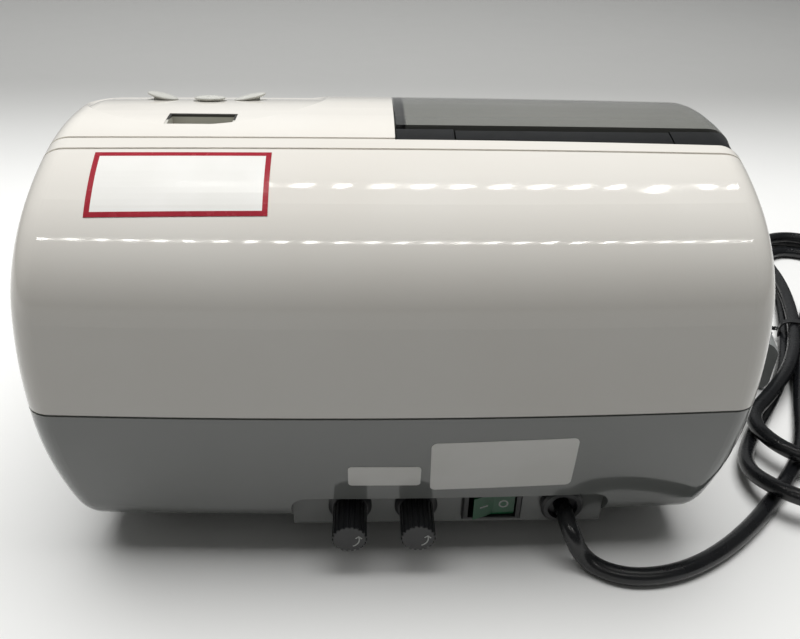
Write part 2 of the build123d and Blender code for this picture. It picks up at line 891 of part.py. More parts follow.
finish(skew_journal.part, "skew_journal")

with BuildPart() as journal_washer:
    with BuildSketch(fork_side.offset(-journal_length / 2 - collar_wall)):
        Circle(collar_radius)
    extrude(amount=collar_wall)
    add(shaft_ring(shaft_radius, 0, fork_x - shaft_nose, motor_front_x), mode=Mode.SUBTRACT)

finish(journal_washer.part, "journal_washer")

with BuildPart() as balance_weight:
    with BuildSketch(Plane.YZ.offset(weight_x)):
        with Locations((shaft_y, shaft_z)):
            Circle(weight_radius)
        with Locations((shaft_y, shaft_z + weight_radius / 2 + weight_hub_radius / 2)):
            Rectangle(2 * weight_radius, weight_radius, mode=Mode.SUBTRACT)
        with Locations((shaft_y, shaft_z)):
            Circle(weight_hub_radius)
            Circle(shaft_radius, mode=Mode.SUBTRACT)
    extrude(amount=weight_wall)

finish(balance_weight.part, "balance_weight")

with BuildPart() as fork_bearing:
    with BuildSketch(fork_side.offset(-bearing_width / 2)):
        Circle(bearing_radius)
        Circle(journal_radius + fit_clearance, mode=Mode.SUBTRACT)
    extrude(amount=bearing_width)
    for face_plane in (fork_side.offset(-bearing_width / 2), fork_side.offset(bearing_width / 2 - shield_step)):
        with BuildSketch(face_plane):
            Circle(bearing_radius - shield_land)
            Circle(journal_radius + shield_land, mode=Mode.SUBTRACT)
        extrude(amount=shield_step, mode=Mode.SUBTRACT)

finish(fork_bearing.part, "fork_bearing")

prong_x = capsule_length / 2
yoke_low = capsule_height - prong_rise
jaw_pin_x = prong_x + prong_wall + jaw_lug_radius

with BuildPart() as fork_arm:
    # hub ring round the bearing
    with BuildSketch(fork_side.offset(-bearing_width / 2)):
        Circle(hub_radius)
        Circle(bearing_radius, mode=Mode.SUBTRACT)
    extrude(amount=bearing_width)
    # the arm, the yoke and the fixed prong
    with BuildSketch(fork_face) as arm_face:
        with BuildLine():
            Polyline(
                (-arm_wall / 2, bearing_radius + arm_wall / 2),
                (-arm_wall / 2, yoke_low - arm_wall),
                (-prong_x - prong_wall, yoke_low),
                (-prong_x - prong_wall, capsule_height + cup_radius),
                (-prong_x, capsule_height + cup_radius),
                (-prong_x, yoke_low + arm_wall),
                (prong_x, yoke_low + arm_wall),
                (prong_x, yoke_low),
                (arm_wall / 2, yoke_low - arm_wall),
                (arm_wall / 2, bearing_radius + arm_wall / 2),
                close=True,
            )
        make_face()
    extrude(amount=prong_width / 2, both=True)
    # cup that holds the end of a capsule
    with BuildSketch(fork_side.offset(-prong_x)):
        with Locations((0, capsule_height)):
            Circle(cup_radius)
            Circle(cup_radius - cup_wall, mode=Mode.SUBTRACT)
    extrude(amount=cup_depth)
    # ears that carry the jaw pin
    with BuildSketch(fork_face) as ear_face:
        with Locations((jaw_pin_x, yoke_low + arm_wall / 2)):
            Circle(jaw_lug_radius)
        with Locations(((prong_x + jaw_pin_x) / 2, yoke_low + arm_wall / 2)):
            Rectangle(jaw_pin_x - prong_x, 2 * jaw_lug_radius)
        with Locations((jaw_pin_x, yoke_low + arm_wall / 2)):
            Circle(jaw_pin_radius, mode=Mode.SUBTRACT)
    extrude(amount=prong_width / 2, both=True)
    with BuildSketch(fork_face):
        with Locations((jaw_pin_x + jaw_lug_radius / 2, yoke_low + arm_wall / 2)):
            Rectangle(3 * jaw_lug_radius + 2 * side_gap, 4 * jaw_lug_radius)
    extrude(amount=jaw_hub_width / 2 + side_gap, both=True, mode=Mode.SUBTRACT)
    # tail with the eye of the restraint spring
    with BuildSketch(fork_face):
        with Locations((0, -hub_radius - tail_length / 2 + tail_wall / 2)):
            Rectangle(tail_wall, tail_length)
        with Locations((0, -hub_radius - tail_length + tail_wall)):
            Circle(tail_eye_radius, mode=Mode.SUBTRACT)
    extrude(amount=tail_wall / 2, both=True)

finish(fork_arm.part, "fork_arm")

jaw_low = yoke_low + arm_wall + side_gap

with BuildPart() as capsule_jaw:
    with BuildSketch(fork_face):
        with Locations((jaw_pin_x, yoke_low + arm_wall / 2)):
            Circle(jaw_lug_radius)
        with Locations((jaw_pin_x, yoke_low + arm_wall / 2 + jaw_lug_radius)):
            Rectangle(2 * jaw_lug_radius, 2 * jaw_lug_radius)
        with Locations((jaw_pin_x, yoke_low + arm_wall / 2)):
            Circle(jaw_pin_radius + fit_clearance, mode=Mode.SUBTRACT)
    extrude(amount=jaw_hub_width / 2, both=True)
    with BuildSketch(fork_face):
        with BuildLine():
            Polyline(
                (prong_x, jaw_low),
                (jaw_pin_x + jaw_lug_radius, jaw_low),
                (jaw_pin_x + jaw_lug_radius, jaw_low + prong_wall),
                (prong_x + prong_wall, jaw_low + 2 * prong_wall),
                (prong_x + prong_wall, capsule_height + cup_radius),
                (prong_x + 2 * prong_wall, capsule_height + cup_radius + jaw_tab_height),
                (prong_x + prong_wall, capsule_height + cup_radius + jaw_tab_height),
                (prong_x, capsule_height + cup_radius),
                close=True,
            )
        make_face()
    extrude(amount=prong_width / 2, both=True)
    with BuildSketch(fork_side.offset(prong_x - cup_depth)):
        with Locations((0, capsule_height)):
            Circle(cup_radius)
            Circle(cup_radius - cup_wall, mode=Mode.SUBTRACT)
    extrude(amount=cup_depth)

finish(capsule_jaw.part, "capsule_jaw")

with BuildPart() as jaw_pin:
    with BuildSketch(fork_face):
        with Locations((jaw_pin_x, yoke_low + arm_wall / 2)):
            Circle(jaw_pin_radius)
    extrude(amount=prong_width / 2, both=True)

finish(jaw_pin.part, "jaw_pin")

chassis_top_z = chassis_z + chassis_wall
spring_x = fork_x + (hub_radius + tail_length - tail_wall) * sin(skew)
spring_low_z = chassis_top_z + 2 * spring_wire
spring_high_z = shaft_z - hub_radius - tail_length - spring_wire

with BuildPart() as restraint_spring:
    with BuildLine():
        coil = Helix(
            pitch=(spring_high_z - spring_low_z) / spring_turns,
            height=spring_high_z - spring_low_z,
            radius=spring_radius,
            center=(spring_x, shaft_y, spring_low_z),
        )
    with BuildSketch(Plane(origin=coil @ 0, z_dir=coil % 0)):
        Circle(spring_wire)
    sweep(is_frenet=True)

finish(restraint_spring.part, "restraint_spring")


# ================================================================== motor
motor_front_bell_x = motor_front_x - bell_wall
stator_start_x = motor_front_x + (motor_length - stator_length) / 2
rotor_radius = stator_bore - rotor_gap
stator_radius = motor_radius - motor_wall

finish(shaft_ring(motor_radius, stator_radius, motor_front_x, motor_back_x), "motor_can")
finish(shaft_ring(stator_radius, stator_bore, stator_start_x, stator_start_x + stator_length), "stator")
finish(shaft_ring(rotor_radius, shaft_radius, stator_start_x, stator_start_x + stator_length), "rotor")


def end_bell(face_x, side):
    """Motor end with a bearing boss; side is the way it faces along X."""
    boss_end = face_x + side * motor_bearing_width
    with BuildPart() as bell:
        add(shaft_ring(motor_radius, motor_bearing_radius, *sorted((face_x, face_x + side * bell_wall))))
        add(shaft_ring(bell_boss_radius, motor_bearing_radius, *sorted((face_x, boss_end))))
    return bell.part


with BuildPart() as motor_bells:
    add(end_bell(motor_front_x, -1))
    add(end_bell(motor_back_x, 1))

finish(motor_bells.part, "motor_bells")

with BuildPart() as motor_bearings:
    for bearing_x in (motor_front_x - motor_bearing_width, motor_back_x, pillow_x):
        add(
            shaft_ring(
                motor_bearing_radius, shaft_radius + fit_clearance, bearing_x, bearing_x + motor_bearing_width
            )
        )

finish(motor_bearings.part, "motor_bearings")

fan_x = motor_back_x + motor_bearing_width + fan_gap

with BuildPart() as cooling_fan:
    add(shaft_ring(fan_radius, shaft_radius, fan_x - board_wall, fan_x))
    add(shaft_ring(2 * shaft_radius, shaft_radius, fan_x - board_wall, fan_x + fan_wall / 2))
    with BuildSketch(Plane.YZ.offset(fan_x)):
        with Locations((shaft_y, shaft_z)):
            with PolarLocations((fan_radius + 2 * shaft_radius) / 2, fan_blades):
                Rectangle(fan_radius - 2 * shaft_radius - board_wall, board_wall, rotation=fan_blade_turn)
    extrude(amount=fan_wall)

finish(cooling_fan.part, "cooling_fan")


# ================================================================== chassis
chassis_length = chassis_right_x - chassis_left_x
chassis_middle_x = (chassis_left_x + chassis_right_x) / 2
chassis_middle_y = (chassis_front_y + chassis_rear_y) / 2
chassis_depth = chassis_rear_y - chassis_front_y
cradle_xs = (motor_front_x + strap_width, motor_back_x - strap_width)

with BuildPart() as chassis_plate:
    with BuildSketch(Plane.XY.offset(chassis_z)):
        with Locations((chassis_middle_x, chassis_middle_y)):
            RectangleRounded(chassis_length, chassis_depth, mount_inset)
        with Locations(*mount_spots):
            Circle(screw_radius, mode=Mode.SUBTRACT)
    extrude(amount=chassis_wall)

finish(chassis_plate.part, "chassis_plate")

with BuildPart() as rubber_mounts:
    with BuildSketch(Plane.XY.offset(floor_top_z)):
        with Locations(*mount_spots):
            Circle(mount_radius)
            Circle(screw_radius, mode=Mode.SUBTRACT)
    extrude(amount=chassis_z - floor_top_z)

finish(rubber_mounts.part, "rubber_mounts")


def screws(seat, spots, grip):
    """Screws at the spots of a plane: heads stand on its outer side, shanks reach grip below it."""
    with BuildPart() as group:
        with BuildSketch(seat):
            with Locations(*spots):
                Circle(screw_radius)
        extrude(amount=-grip)
        with BuildSketch(seat):
            with Locations(*spots):
                Circle(screw_head_radius)
        extrude(amount=screw_head_wall)
        with BuildSketch(seat.offset(screw_head_wall)):
            with Locations(*spots):
                RegularPolygon(screw_head_radius / 2, 6)
        extrude(amount=-screw_head_wall / 2, mode=Mode.SUBTRACT)
    return group.part


def facing_down(z):
    """Plane at height z whose outer side is below; its second coordinate is -Y."""
    return Plane(origin=(0, 0, z), x_dir=(1, 0, 0), z_dir=(0, 0, -1))


def mirrored(spots):
    """The same spots as seen on a plane that faces down."""
    return [(x, -y) for x, y in spots]


chassis_grip = chassis_top_z - floor_top_z + mount_screw_bite

with BuildPart() as long_screws:
    # through the rubber mounts from above, and through the feet from below
    add(screws(Plane.XY.offset(chassis_top_z), mount_spots, chassis_grip))
    add(screws(facing_down(foot_seat_z), mirrored(foot_spots), chassis_grip))

finish(long_screws.part, "long_screws")

with BuildPart() as pillow_block:
    with BuildSketch(Plane.YZ.offset(pillow_x)):
        with Locations((shaft_y, (chassis_top_z + shaft_z) / 2)):
            Rectangle(pillow_width, shaft_z - chassis_top_z)
        with Locations((shaft_y, shaft_z)):
            Circle(pillow_width / 2)
            Circle(motor_bearing_radius, mode=Mode.SUBTRACT)
    extrude(amount=motor_bearing_width)

finish(pillow_block.part, "pillow_block")

with BuildPart() as motor_cradles:
    for cradle_x in cradle_xs:
        with BuildSketch(Plane.YZ.offset(cradle_x - cradle_wall / 2)):
            with Locations((shaft_y, (chassis_top_z + shaft_z - cradle_drop) / 2)):
                Rectangle(cradle_width, shaft_z - cradle_drop - chassis_top_z)
            with Locations((shaft_y, shaft_z)):
                Circle(motor_radius, mode=Mode.SUBTRACT)
        extrude(amount=cradle_wall)

finish(motor_cradles.part, "motor_cradles")

strap_foot_y = cradle_width / 2

with BuildPart() as motor_straps:
    for cradle_x in cradle_xs:
        with BuildSketch(Plane.YZ.offset(cradle_x - strap_width / 2)):
            with Locations((shaft_y, shaft_z)):
                Circle(motor_radius + strap_wall)
                Circle(motor_radius, mode=Mode.SUBTRACT)
            with Locations((shaft_y, shaft_z - motor_radius)):
                Rectangle(3 * motor_radius, 2 * (motor_radius - cradle_drop), mode=Mode.SUBTRACT)
        extrude(amount=strap_width)

finish(motor_straps.part, "motor_straps")


# ================================================================== power board
power_board_top = power_board_z + board_wall


with BuildPart() as power_board:
    with BuildSketch(Plane.XY.offset(power_board_z)):
        with Locations((0, power_board_middle_y)):
            RectangleRounded(power_board_length, power_board_depth, pillar_radius)
        with Locations(*board_spots):
            Circle(screw_radius, mode=Mode.SUBTRACT)
    extrude(amount=board_wall)

finish(power_board.part, "power_board")

core_window = core_length / 2 - 1.5 * core_leg
window_high = core_height - 1.5 * core_leg

with BuildPart() as transformer_core:
    with BuildSketch(Plane.XZ.offset(-power_board_middle_y)):
        with Locations((transformer_x, power_board_top + core_height / 2)):
            Rectangle(core_length, core_height)
            with GridLocations(core_leg + core_window, 1, 2, 1):
                Rectangle(core_window, window_high, mode=Mode.SUBTRACT)
    extrude(amount=core_depth / 2, both=True)

finish(transformer_core.part, "transformer_core")

with BuildPart() as transformer_coil:
    with Locations((transformer_x, power_board_middle_y, power_board_top + core_height / 2)):
        Box(core_leg + 2 * core_window, coil_depth, window_high)
    add(transformer_core.part, mode=Mode.SUBTRACT)

finish(transformer_coil.part, "transformer_coil")

with BuildPart() as capacitors:
    with BuildSketch(Plane.XY.offset(power_board_top)):
        with Locations(*[(x, power_board_middle_y) for x in capacitor_spots]):
            Circle(capacitor_radius)
    extrude(amount=capacitor_height)
    chamfer(capacitors.faces().group_by(Axis.Z)[-1].edges(), board_wall / 2)

finish(capacitors.part, "capacitors")


# ================================================================== control board, display and buttons
control_board_top = panel_frame.offset(-board_drop)
control_board_back = Plane(
    origin=panel_frame.offset(-board_drop - board_wall).origin,
    x_dir=(1, 0, 0),
    z_dir=-panel_frame.z_dir,
)

with BuildPart() as control_board:
    with BuildSketch(control_board_top):
        with Locations((0, (control_boss_front + control_boss_rear) / 2)):
            RectangleRounded(
                2 * (control_boss_x + control_board_margin),
                control_boss_rear - control_boss_front + 2 * control_board_margin,
                control_board_margin,
            )
        with Locations(*control_boss_spots):
            Circle(screw_radius, mode=Mode.SUBTRACT)
    extrude(amount=-board_wall)

finish(control_board.part, "control_board")

with BuildPart() as board_screws:
    # of both circuit boards
    add(screws(Plane.XY.offset(power_board_top), board_spots, board_wall + board_screw_bite))
    add(screws(control_board_back, mirrored(control_boss_spots), board_wall + board_screw_bite))

finish(board_screws.part, "board_screws")
display_spot = on_panel(display_x, display_y)

with BuildPart() as display_module:
    with BuildSketch(control_board_top):
        with Locations(display_spot):
            Rectangle(module_width, module_height)
    extrude(amount=module_wall)

finish(display_module.part, "display_module")

with BuildPart() as display_window:
    with BuildSketch(control_board_top.offset(module_wall)):
        with Locations(display_spot):
            Rectangle(window_width, window_height)
    extrude(amount=window_wall)

finish(display_window.part, "display_window")

with BuildPart() as tact_switches:
    with BuildSketch(control_board_top):
        with Locations(*[(x, y) for x, y, _ in button_places]):
            Rectangle(tact_size, tact_size)
    extrude(amount=tact_height)
    with BuildSketch(control_board_top.offset(tact_height)):
        with Locations(*[(x, y) for x, y, _ in button_places]):
            Circle(plunger_radius)
    extrude(amount=plunger_rise)

finish(tact_switches.part, "tact_switches")

panel_fall = (button_y - panel_y) * tan(radians(panel_lean))
dish_floor = (surface_z(button_y) - surface_z(panel_y) - panel_fall) * cos(radians(panel_lean)) - dish_depth
button_top = dish_floor + button_proud
stem_tip = -board_drop + tact_height + plunger_rise + button_travel + side_gap

for number, place in enumerate(button_places, 1):
    with BuildPart() as button:
        with BuildSketch(panel_frame.offset(-flange_drop)):
            button_ovals(0, [place])
        extrude(amount=flange_drop + button_top)
        fillet(button.edges().sort_by(Axis.Z)[-1], button_proud / 3)
        with BuildSketch(panel_frame.offset(-flange_drop - flange_wall)):
            button_ovals(flange_overlap, [place])
        extrude(amount=flange_wall)
        with BuildSketch(panel_frame.offset(stem_tip)):
            with Locations(place[:2]):
                Circle(stem_radius)
        extrude(amount=-flange_drop - flange_wall - stem_tip)
    finish(button.part, f"button_{number}")


# ================================================================== lid magnet and its sensor
def beside_lid_wall(low, height, name):
    """Small block against the lid's straight side, at a height above the deck."""
    with BuildPart() as block:
        with BuildSketch(deck_plane.offset(low)):
            with Locations((lid_edge_x - lid_wall - magnet_wall / 2, -magnet_forward)):
                Rectangle(magnet_wall, magnet_length)
        extrude(amount=height)
    finish(block.part, name)


beside_lid_wall(2 * lid_gap, magnet_height, "lid_magnet")
beside_lid_wall(-deck_wall - magnet_height, magnet_height, "lid_sensor")


# ================================================================== fuse holders in the socket panel
def socket_round(radius, start_y, end_y, spots):
    """Round pieces along Y at spots of the socket panel, as a part."""
    with BuildPart() as rounds:
        with BuildSketch(Plane.XZ.offset(-start_y)):
            with Locations(*[(x, socket_z) for x in spots]):
                Circle(radius)
        extrude(amount=start_y - end_y)
    return rounds.part


flange_face_y = panel_plate_y + fuse_flange_wall
holder_end_y = panel_plate_y - fuse_body_length

with BuildPart() as fuse_holders:
    add(socket_round(fuse_flange_radius, panel_plate_y, flange_face_y, fuse_x))
    chamfer(fuse_holders.faces().group_by(Axis.Y)[-1].edges(), fuse_flange_wall / 2)
    add(socket_round(fuse_body_radius, holder_end_y, panel_plate_y, fuse_x))
    add(socket_round(fuse_bore, holder_end_y + fuse_end_wall, flange_face_y, fuse_x), mode=Mode.SUBTRACT)
    add(socket_round(fuse_contact_radius, holder_end_y, flange_face_y, fuse_x), mode=Mode.SUBTRACT)

finish(fuse_holders.part, "fuse_holders")

with BuildPart() as fuse_nuts:
    with BuildSketch(Plane.XZ.offset(-plate_inner_y)):
        with Locations(*[(x, socket_z) for x in fuse_x]):
            RegularPolygon(nut_radius, 6)
            Circle(fuse_body_radius, mode=Mode.SUBTRACT)
    extrude(amount=nut_wall)

finish(fuse_nuts.part, "fuse_nuts")

cap_inner_y = flange_face_y + fuse_cap_gap
cap_end_y = panel_plate_y + fuse_cap_reach
fuse_end_y = fuse_inner_y + fuse_length

for number, spot in enumerate(fuse_x, 1):
    with BuildPart() as fuse_cap:
        with BuildSketch(Plane.XZ.offset(-cap_inner_y)):
            with Locations((spot, socket_z)):
                Circle(fuse_cap_radius)
                with PolarLocations(fuse_cap_radius, cap_flutes):
                    Circle(flute_radius, mode=Mode.SUBTRACT)
        extrude(amount=cap_inner_y - cap_end_y)
        chamfer(fuse_cap.faces().sort_by(Axis.Y)[-1].outer_wire().edges(), flute_radius / 2)
        add(socket_round(fuse_skirt_radius, cap_inner_y - fuse_skirt_length, cap_inner_y, [spot]))
        add(
            socket_round(fuse_radius + fit_clearance, cap_inner_y - fuse_skirt_length, fuse_end_y, [spot]),
            mode=Mode.SUBTRACT,
        )
    finish(fuse_cap.part, f"fuse_cap_{number}")
    finish(socket_round(fuse_radius, fuse_inner_y, fuse_end_y, [spot]), f"glass_fuse_{number}")


# ================================================================== mains switch
def socket_box(width, height, start_y, end_y, x=switch_x):
    """Block along Y at the middle of the switch."""
    with BuildPart() as block:
        with BuildSketch(Plane.XZ.offset(-start_y)):
            with Locations((x, socket_z)):
                Rectangle(width, height)
        extrude(amount=start_y - end_y)
    return block.part


def rocker_axle(radius):
    """Upright cylinder on the rocker's pivot, as tall as the switch body."""
    with BuildPart() as axle:
        with Locations((switch_x, rocker_pivot_y, socket_z)):
            Cylinder(radius, switch_body_height)
    return axle.part


switch_back_y = panel_plate_y - switch_body_depth
bezel_face_y = panel_plate_y + switch_bezel_wall

with BuildPart() as switch_housing:
    add(socket_box(switch_width, switch_height, panel_plate_y, bezel_face_y))
    chamfer(switch_housing.faces().group_by(Axis.Y)[-1].edges(), switch_bezel_wall / 3)
    add(socket_box(switch_body_width, switch_body_height, switch_back_y, panel_plate_y))
    add(
        socket_box(switch_cavity_width, switch_cavity_height, switch_back_y + switch_floor, bezel_face_y),
        mode=Mode.SUBTRACT,
    )
    add(rocker_axle(rocker_pin_radius + fit_clearance), mode=Mode.SUBTRACT)

finish(switch_housing.part, "switch_housing")

with BuildPart() as rocker:
    with BuildSketch(Plane.XY.offset(socket_z)):
        with Locations(Location((switch_x, rocker_pivot_y), rocker_tilt)):
            Polygon(
                (-rocker_width / 2, rocker_crest),
                (0, rocker_valley),
                (rocker_width / 2, rocker_crest),
                (rocker_width / 2 - rocker_tip_inset, -rocker_root / 2),
                (rocker_tip_inset, -rocker_root),
                (-rocker_tip_inset, -rocker_root),
                (-rocker_width / 2 + rocker_tip_inset, -rocker_root / 2),
                align=None,
            )
    extrude(amount=rocker_height / 2, both=True)
    add(rocker_axle(rocker_pin_radius))

finish(rocker.part, "rocker")

contact_y = holder_end_y - fuse_contact_reach

with BuildPart() as terminals:
    # a rod in the end of each fuse holder, and the flat tabs of the switch
    add(socket_round(fuse_contact_radius, contact_y, fuse_inner_y - side_gap, fuse_x))
    for side in (-1.5, -0.5, 0.5, 1.5):
        tab_x = switch_x + side * tab_pitch
        add(socket_box(tab_width, tab_height, switch_back_y - tab_length, switch_back_y, tab_x))

finish(terminals.part, "terminals")


# ================================================================== mains lead, its bushing, bundle and plug
def cord_tube(route):
    """Tube of the cord along straight runs joined by tangent bends, and the bends' radii."""
    runs = [Vector(b) - Vector(a) for a, b in zip(route, route[1:])]
    radii = []
    for before, after in zip(runs, runs[1:]):
        half_turn = radians(before.get_angle(after)) / 2
        radii.append(bend_share * min(before.length, after.length) / tan(half_turn))
    with BuildPart() as tube:
        with BuildLine():
            path = FilletPolyline(*route, radius=radii)
        with BuildSketch(Plane(origin=path @ 0, z_dir=path % 0)):
            Circle(cord_diameter / 2)
        sweep(transition=Transition.RIGHT)
    return tube.part, radii, path.length


with BuildPart() as cord_bushing:
    add(socket_round(relief_radius, panel_plate_y, panel_plate_y + relief_wall, [relief_x]))
    chamfer(cord_bushing.faces().group_by(Axis.Y)[-1].edges(), relief_wall / 4)
    add(socket_round(relief_neck_radius, plate_inner_y, panel_plate_y, [relief_x]))
    add(socket_round(relief_lip_radius, plate_inner_y - relief_lip_wall, plate_inner_y, [relief_x]))
    add(
        socket_round(
            relief_recess_radius,
            panel_plate_y + relief_wall - relief_recess_depth,
            panel_plate_y + relief_wall,
            [relief_x],
        ),
        mode=Mode.SUBTRACT,
    )
    add(
        socket_round(cord_diameter / 2, plate_inner_y - relief_lip_wall, front_reach, [relief_x]),
        mode=Mode.SUBTRACT,
    )

finish(cord_bushing.part, "cord_bushing")

mains_cord, mains_radii, mains_length = cord_tube(cord_route)
plug_lead, lead_radii, lead_length = cord_tube(lead_route)
section = pi * cord_diameter**2 / 4
print("mains cord radii", [round(radius, 1) for radius in mains_radii], "length", round(mains_length, 1))
print("plug lead radii", [round(radius, 1) for radius in lead_radii], "length", round(lead_length, 1))
print("volume over section x length", mains_cord.volume / (section * mains_length))
print("volume over section x length", plug_lead.volume / (section * lead_length))

with BuildPart() as free_cord:
    # one cord: from the machine into its bundle, and out of the bundle to the plug
    add(mains_cord)
    add(plug_lead)

finish(free_cord.part, "mains_cord")

hank_frame = Plane(
    origin=(*hank_start, 0),
    x_dir=(cos(radians(hank_lean)), sin(radians(hank_lean)), 0),
    z_dir=(0, 0, 1),
)


def hank_form(inset):
    """Outer form of the tied bundle of cord, inset by the tie's thickness where it is pressed in."""
    with BuildPart() as bundle:
        with BuildSketch(hank_frame.offset(inset)):
            with BuildLine():
                upper = [(along, half - inset) for along, half in hank_half_widths]
                lower = [(along, inset - half) for along, half in reversed(hank_half_widths)]
                Polyline(*upper, *lower, close=True)
            make_face()
        extrude(amount=hank_height - 2 * inset)
        fillet(bundle.edges().filter_by(Axis.Z), hank_edge * 2)
        fillet(bundle.faces().filter_by(Axis.Z).edges(), hank_edge)
    return bundle.part


with BuildPart() as cord_tie:
    add(hank_form(0))
    with BuildSketch(hank_frame.offset(-hank_height)):
        with Locations((tie_place, 0)):
            Rectangle(tie_width, hank_length)
    extrude(amount=3 * hank_height, mode=Mode.INTERSECT)
    add(hank_form(tie_wall), mode=Mode.SUBTRACT)

finish(cord_tie.part, "cord_tie")

with BuildPart() as cord_hank:
    add(hank_form(0))
    add(cord_tie.part, mode=Mode.SUBTRACT)
    add(mains_cord, mode=Mode.SUBTRACT)
    add(plug_lead, mode=Mode.SUBTRACT)

finish(cord_hank.part, "cord_hank")

pin_direction = Vector(cos(radians(plug_lean)), sin(radians(plug_lean)), 0)
plug_front = Plane(
    origin=(*plug_face, plug_height / 2),
    x_dir=pin_direction.cross(Vector(0, 0, -1)),
    z_dir=pin_direction,
)

with BuildPart() as plug_body:
    with BuildSketch(plug_front):
        RectangleRounded(plug_width, plug_height, plug_corner)
    extrude(amount=-plug_face_wall)
    with BuildSketch(plug_front.offset(-plug_face_wall)):
        RectangleRounded(plug_width, plug_height, plug_corner)
    with BuildSketch(plug_front.offset(-plug_length)):
        RectangleRounded(plug_tail_width, plug_tail_width, plug_corner)
    loft()
    # tapered relief at the cord
    with BuildSketch(plug_front.offset(-plug_length)):
        Circle(boot_radius)
    with BuildSketch(plug_front.offset(-plug_length - boot_length)):
        Circle(boot_tip_radius)
    loft()
    add(plug_lead, mode=Mode.SUBTRACT)

finish(plug_body.part, "plug_body")

with BuildPart() as plug_pins:
    with BuildSketch(plug_front):
        with Locations(
            Location((-pin_radius / 2, pin_radius / 3), pin_turn),
            Location((pin_radius / 2, pin_radius / 3), -pin_turn),
            Location((0, -2 * pin_radius / 3), 0),
        ):
            Rectangle(pin_wall, pin_width)
    extrude(amount=pin_length)

finish(plug_pins.part, "plug_pins")

# ================================================================== feet and the screws from below
with BuildPart() as feet:
    with BuildSketch(facing_down(floor_z)):
        with Locations(*mirrored(foot_spots)):
            Circle(foot_radius)
    extrude(amount=floor_z, taper=degrees(atan((foot_radius - foot_sole_radius) / floor_z)))
    with BuildSketch(facing_down(floor_z)):
        with Locations(*mirrored(foot_spots)):
            Circle(screw_radius)
    extrude(amount=floor_z, mode=Mode.SUBTRACT)
    with BuildSketch(facing_down(foot_seat_z)):
        with Locations(*mirrored(foot_spots)):
            Circle(screw_head_radius)
    extrude(amount=foot_seat_z, mode=Mode.SUBTRACT)

finish(feet.part, "feet")
finish(
    screws(facing_down(tower_top_z - tower_web), mirrored(tower_spots), housing_screw_bite),
    "housing_screws",
)
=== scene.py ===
# %% [markdown]
# # A dental amalgamator, dressed on its CAD frame
# The CAD model says where every solid is and how it moves. This file gives each solid the finish of
# the real thing, and makes what a solid can't show: the stickers, the printed marks and the soft
# mains lead with its tied bundle.

# %% Load the frame and put each solid's placing into its points
import json
from math import atan2, cos, pi, radians, sin

import bmesh
import bpy
from mathutils import Matrix, Vector
from mathutils.bvhtree import BVHTree


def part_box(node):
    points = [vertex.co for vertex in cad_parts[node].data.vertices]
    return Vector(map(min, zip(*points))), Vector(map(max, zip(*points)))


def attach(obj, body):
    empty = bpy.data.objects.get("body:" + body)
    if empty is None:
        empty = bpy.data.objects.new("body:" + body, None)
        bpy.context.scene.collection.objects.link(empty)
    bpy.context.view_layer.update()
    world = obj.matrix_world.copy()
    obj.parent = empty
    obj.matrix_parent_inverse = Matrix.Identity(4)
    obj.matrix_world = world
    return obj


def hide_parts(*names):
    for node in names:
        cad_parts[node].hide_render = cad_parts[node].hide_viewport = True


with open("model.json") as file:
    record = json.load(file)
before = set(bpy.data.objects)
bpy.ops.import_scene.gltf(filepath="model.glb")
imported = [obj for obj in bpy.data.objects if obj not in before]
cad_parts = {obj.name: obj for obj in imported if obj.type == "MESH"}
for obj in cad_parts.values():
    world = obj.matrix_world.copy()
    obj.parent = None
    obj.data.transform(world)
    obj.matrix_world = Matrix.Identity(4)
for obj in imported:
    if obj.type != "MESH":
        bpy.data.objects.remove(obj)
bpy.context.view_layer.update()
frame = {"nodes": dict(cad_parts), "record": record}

MM = 0.001
nodes = frame["nodes"]

# %% [markdown]
# ## Colours and nodes
# Paint and plastic are chosen as sRGB hex values, as in any paint shop, and shaders work in linear
# light. One function turns one into the other. A second one adds a node with its settings and its
# links, so that each finish below reads as a short recipe. The last one is for a finish that
# changes from place to place: it lays a second tone on along a direction.


# %% Helpers for every material
def linear(code):
    """The linear colour of an sRGB hex value such as #EDE8DC."""
    channels = [int(code[i : i + 2], 16) / 255 for i in (1, 3, 5)]
    return [c / 12.92 if c <= 0.04045 else ((c + 0.055) / 1.055) ** 2.4 for c in channels] + [1.0]


def add_node(tree, kind, inputs=(), **settings):
    """Add a node; inputs maps a socket to a value or to the socket that feeds it."""
    node = tree.nodes.new(kind)
    for name, value in settings.items():
        setattr(node, name, value)
    for socket, value in dict(inputs).items():
        if isinstance(value, bpy.types.NodeSocket):
            tree.links.new(value, node.inputs[socket])
        else:
            node.inputs[socket].default_value = value
    return node


def toned_along(finish, direction, start, end, tone, easing="LINEAR"):
    """Lay another tone over a finish: none at the start of a distance in metres, all at its end."""
    tree = finish.node_tree
    place = add_node(tree, "ShaderNodeTexCoord")
    distance = add_node(
        tree, "ShaderNodeVectorMath", {0: place.outputs["Object"], 1: direction}, operation="DOT_PRODUCT"
    )
    share = add_node(
        tree,
        "ShaderNodeMapRange",
        {"Value": distance.outputs["Value"], "From Min": start, "From Max": end},
        interpolation_type=easing,
    )
    base = tree.nodes["Principled BSDF"].inputs["Base Color"]
    mix = add_node(tree, "ShaderNodeMix", {"Factor": share.outputs["Result"]}, data_type="RGBA")
    mix.inputs[7].default_value = linear(tone)
    tree.links.new(base.links[0].from_socket, mix.inputs[6])
    tree.links.new(mix.outputs[2], base)


print("white ABS in linear light", [round(c, 3) for c in linear("#EDE8DC")])

# %% [markdown]
# ## Surfaces that were moulded, brushed, cast or rolled
# Nearly every finish here is one shader over three noises: a slow one that drifts the colour, a
# middle one that varies the gloss, as finger grease and polishing do, and a fine one that lifts the
# grain of the mould or the tool. The grain size is given in millimetres, and stretching the noise
# along one axis turns grain into brush lines.


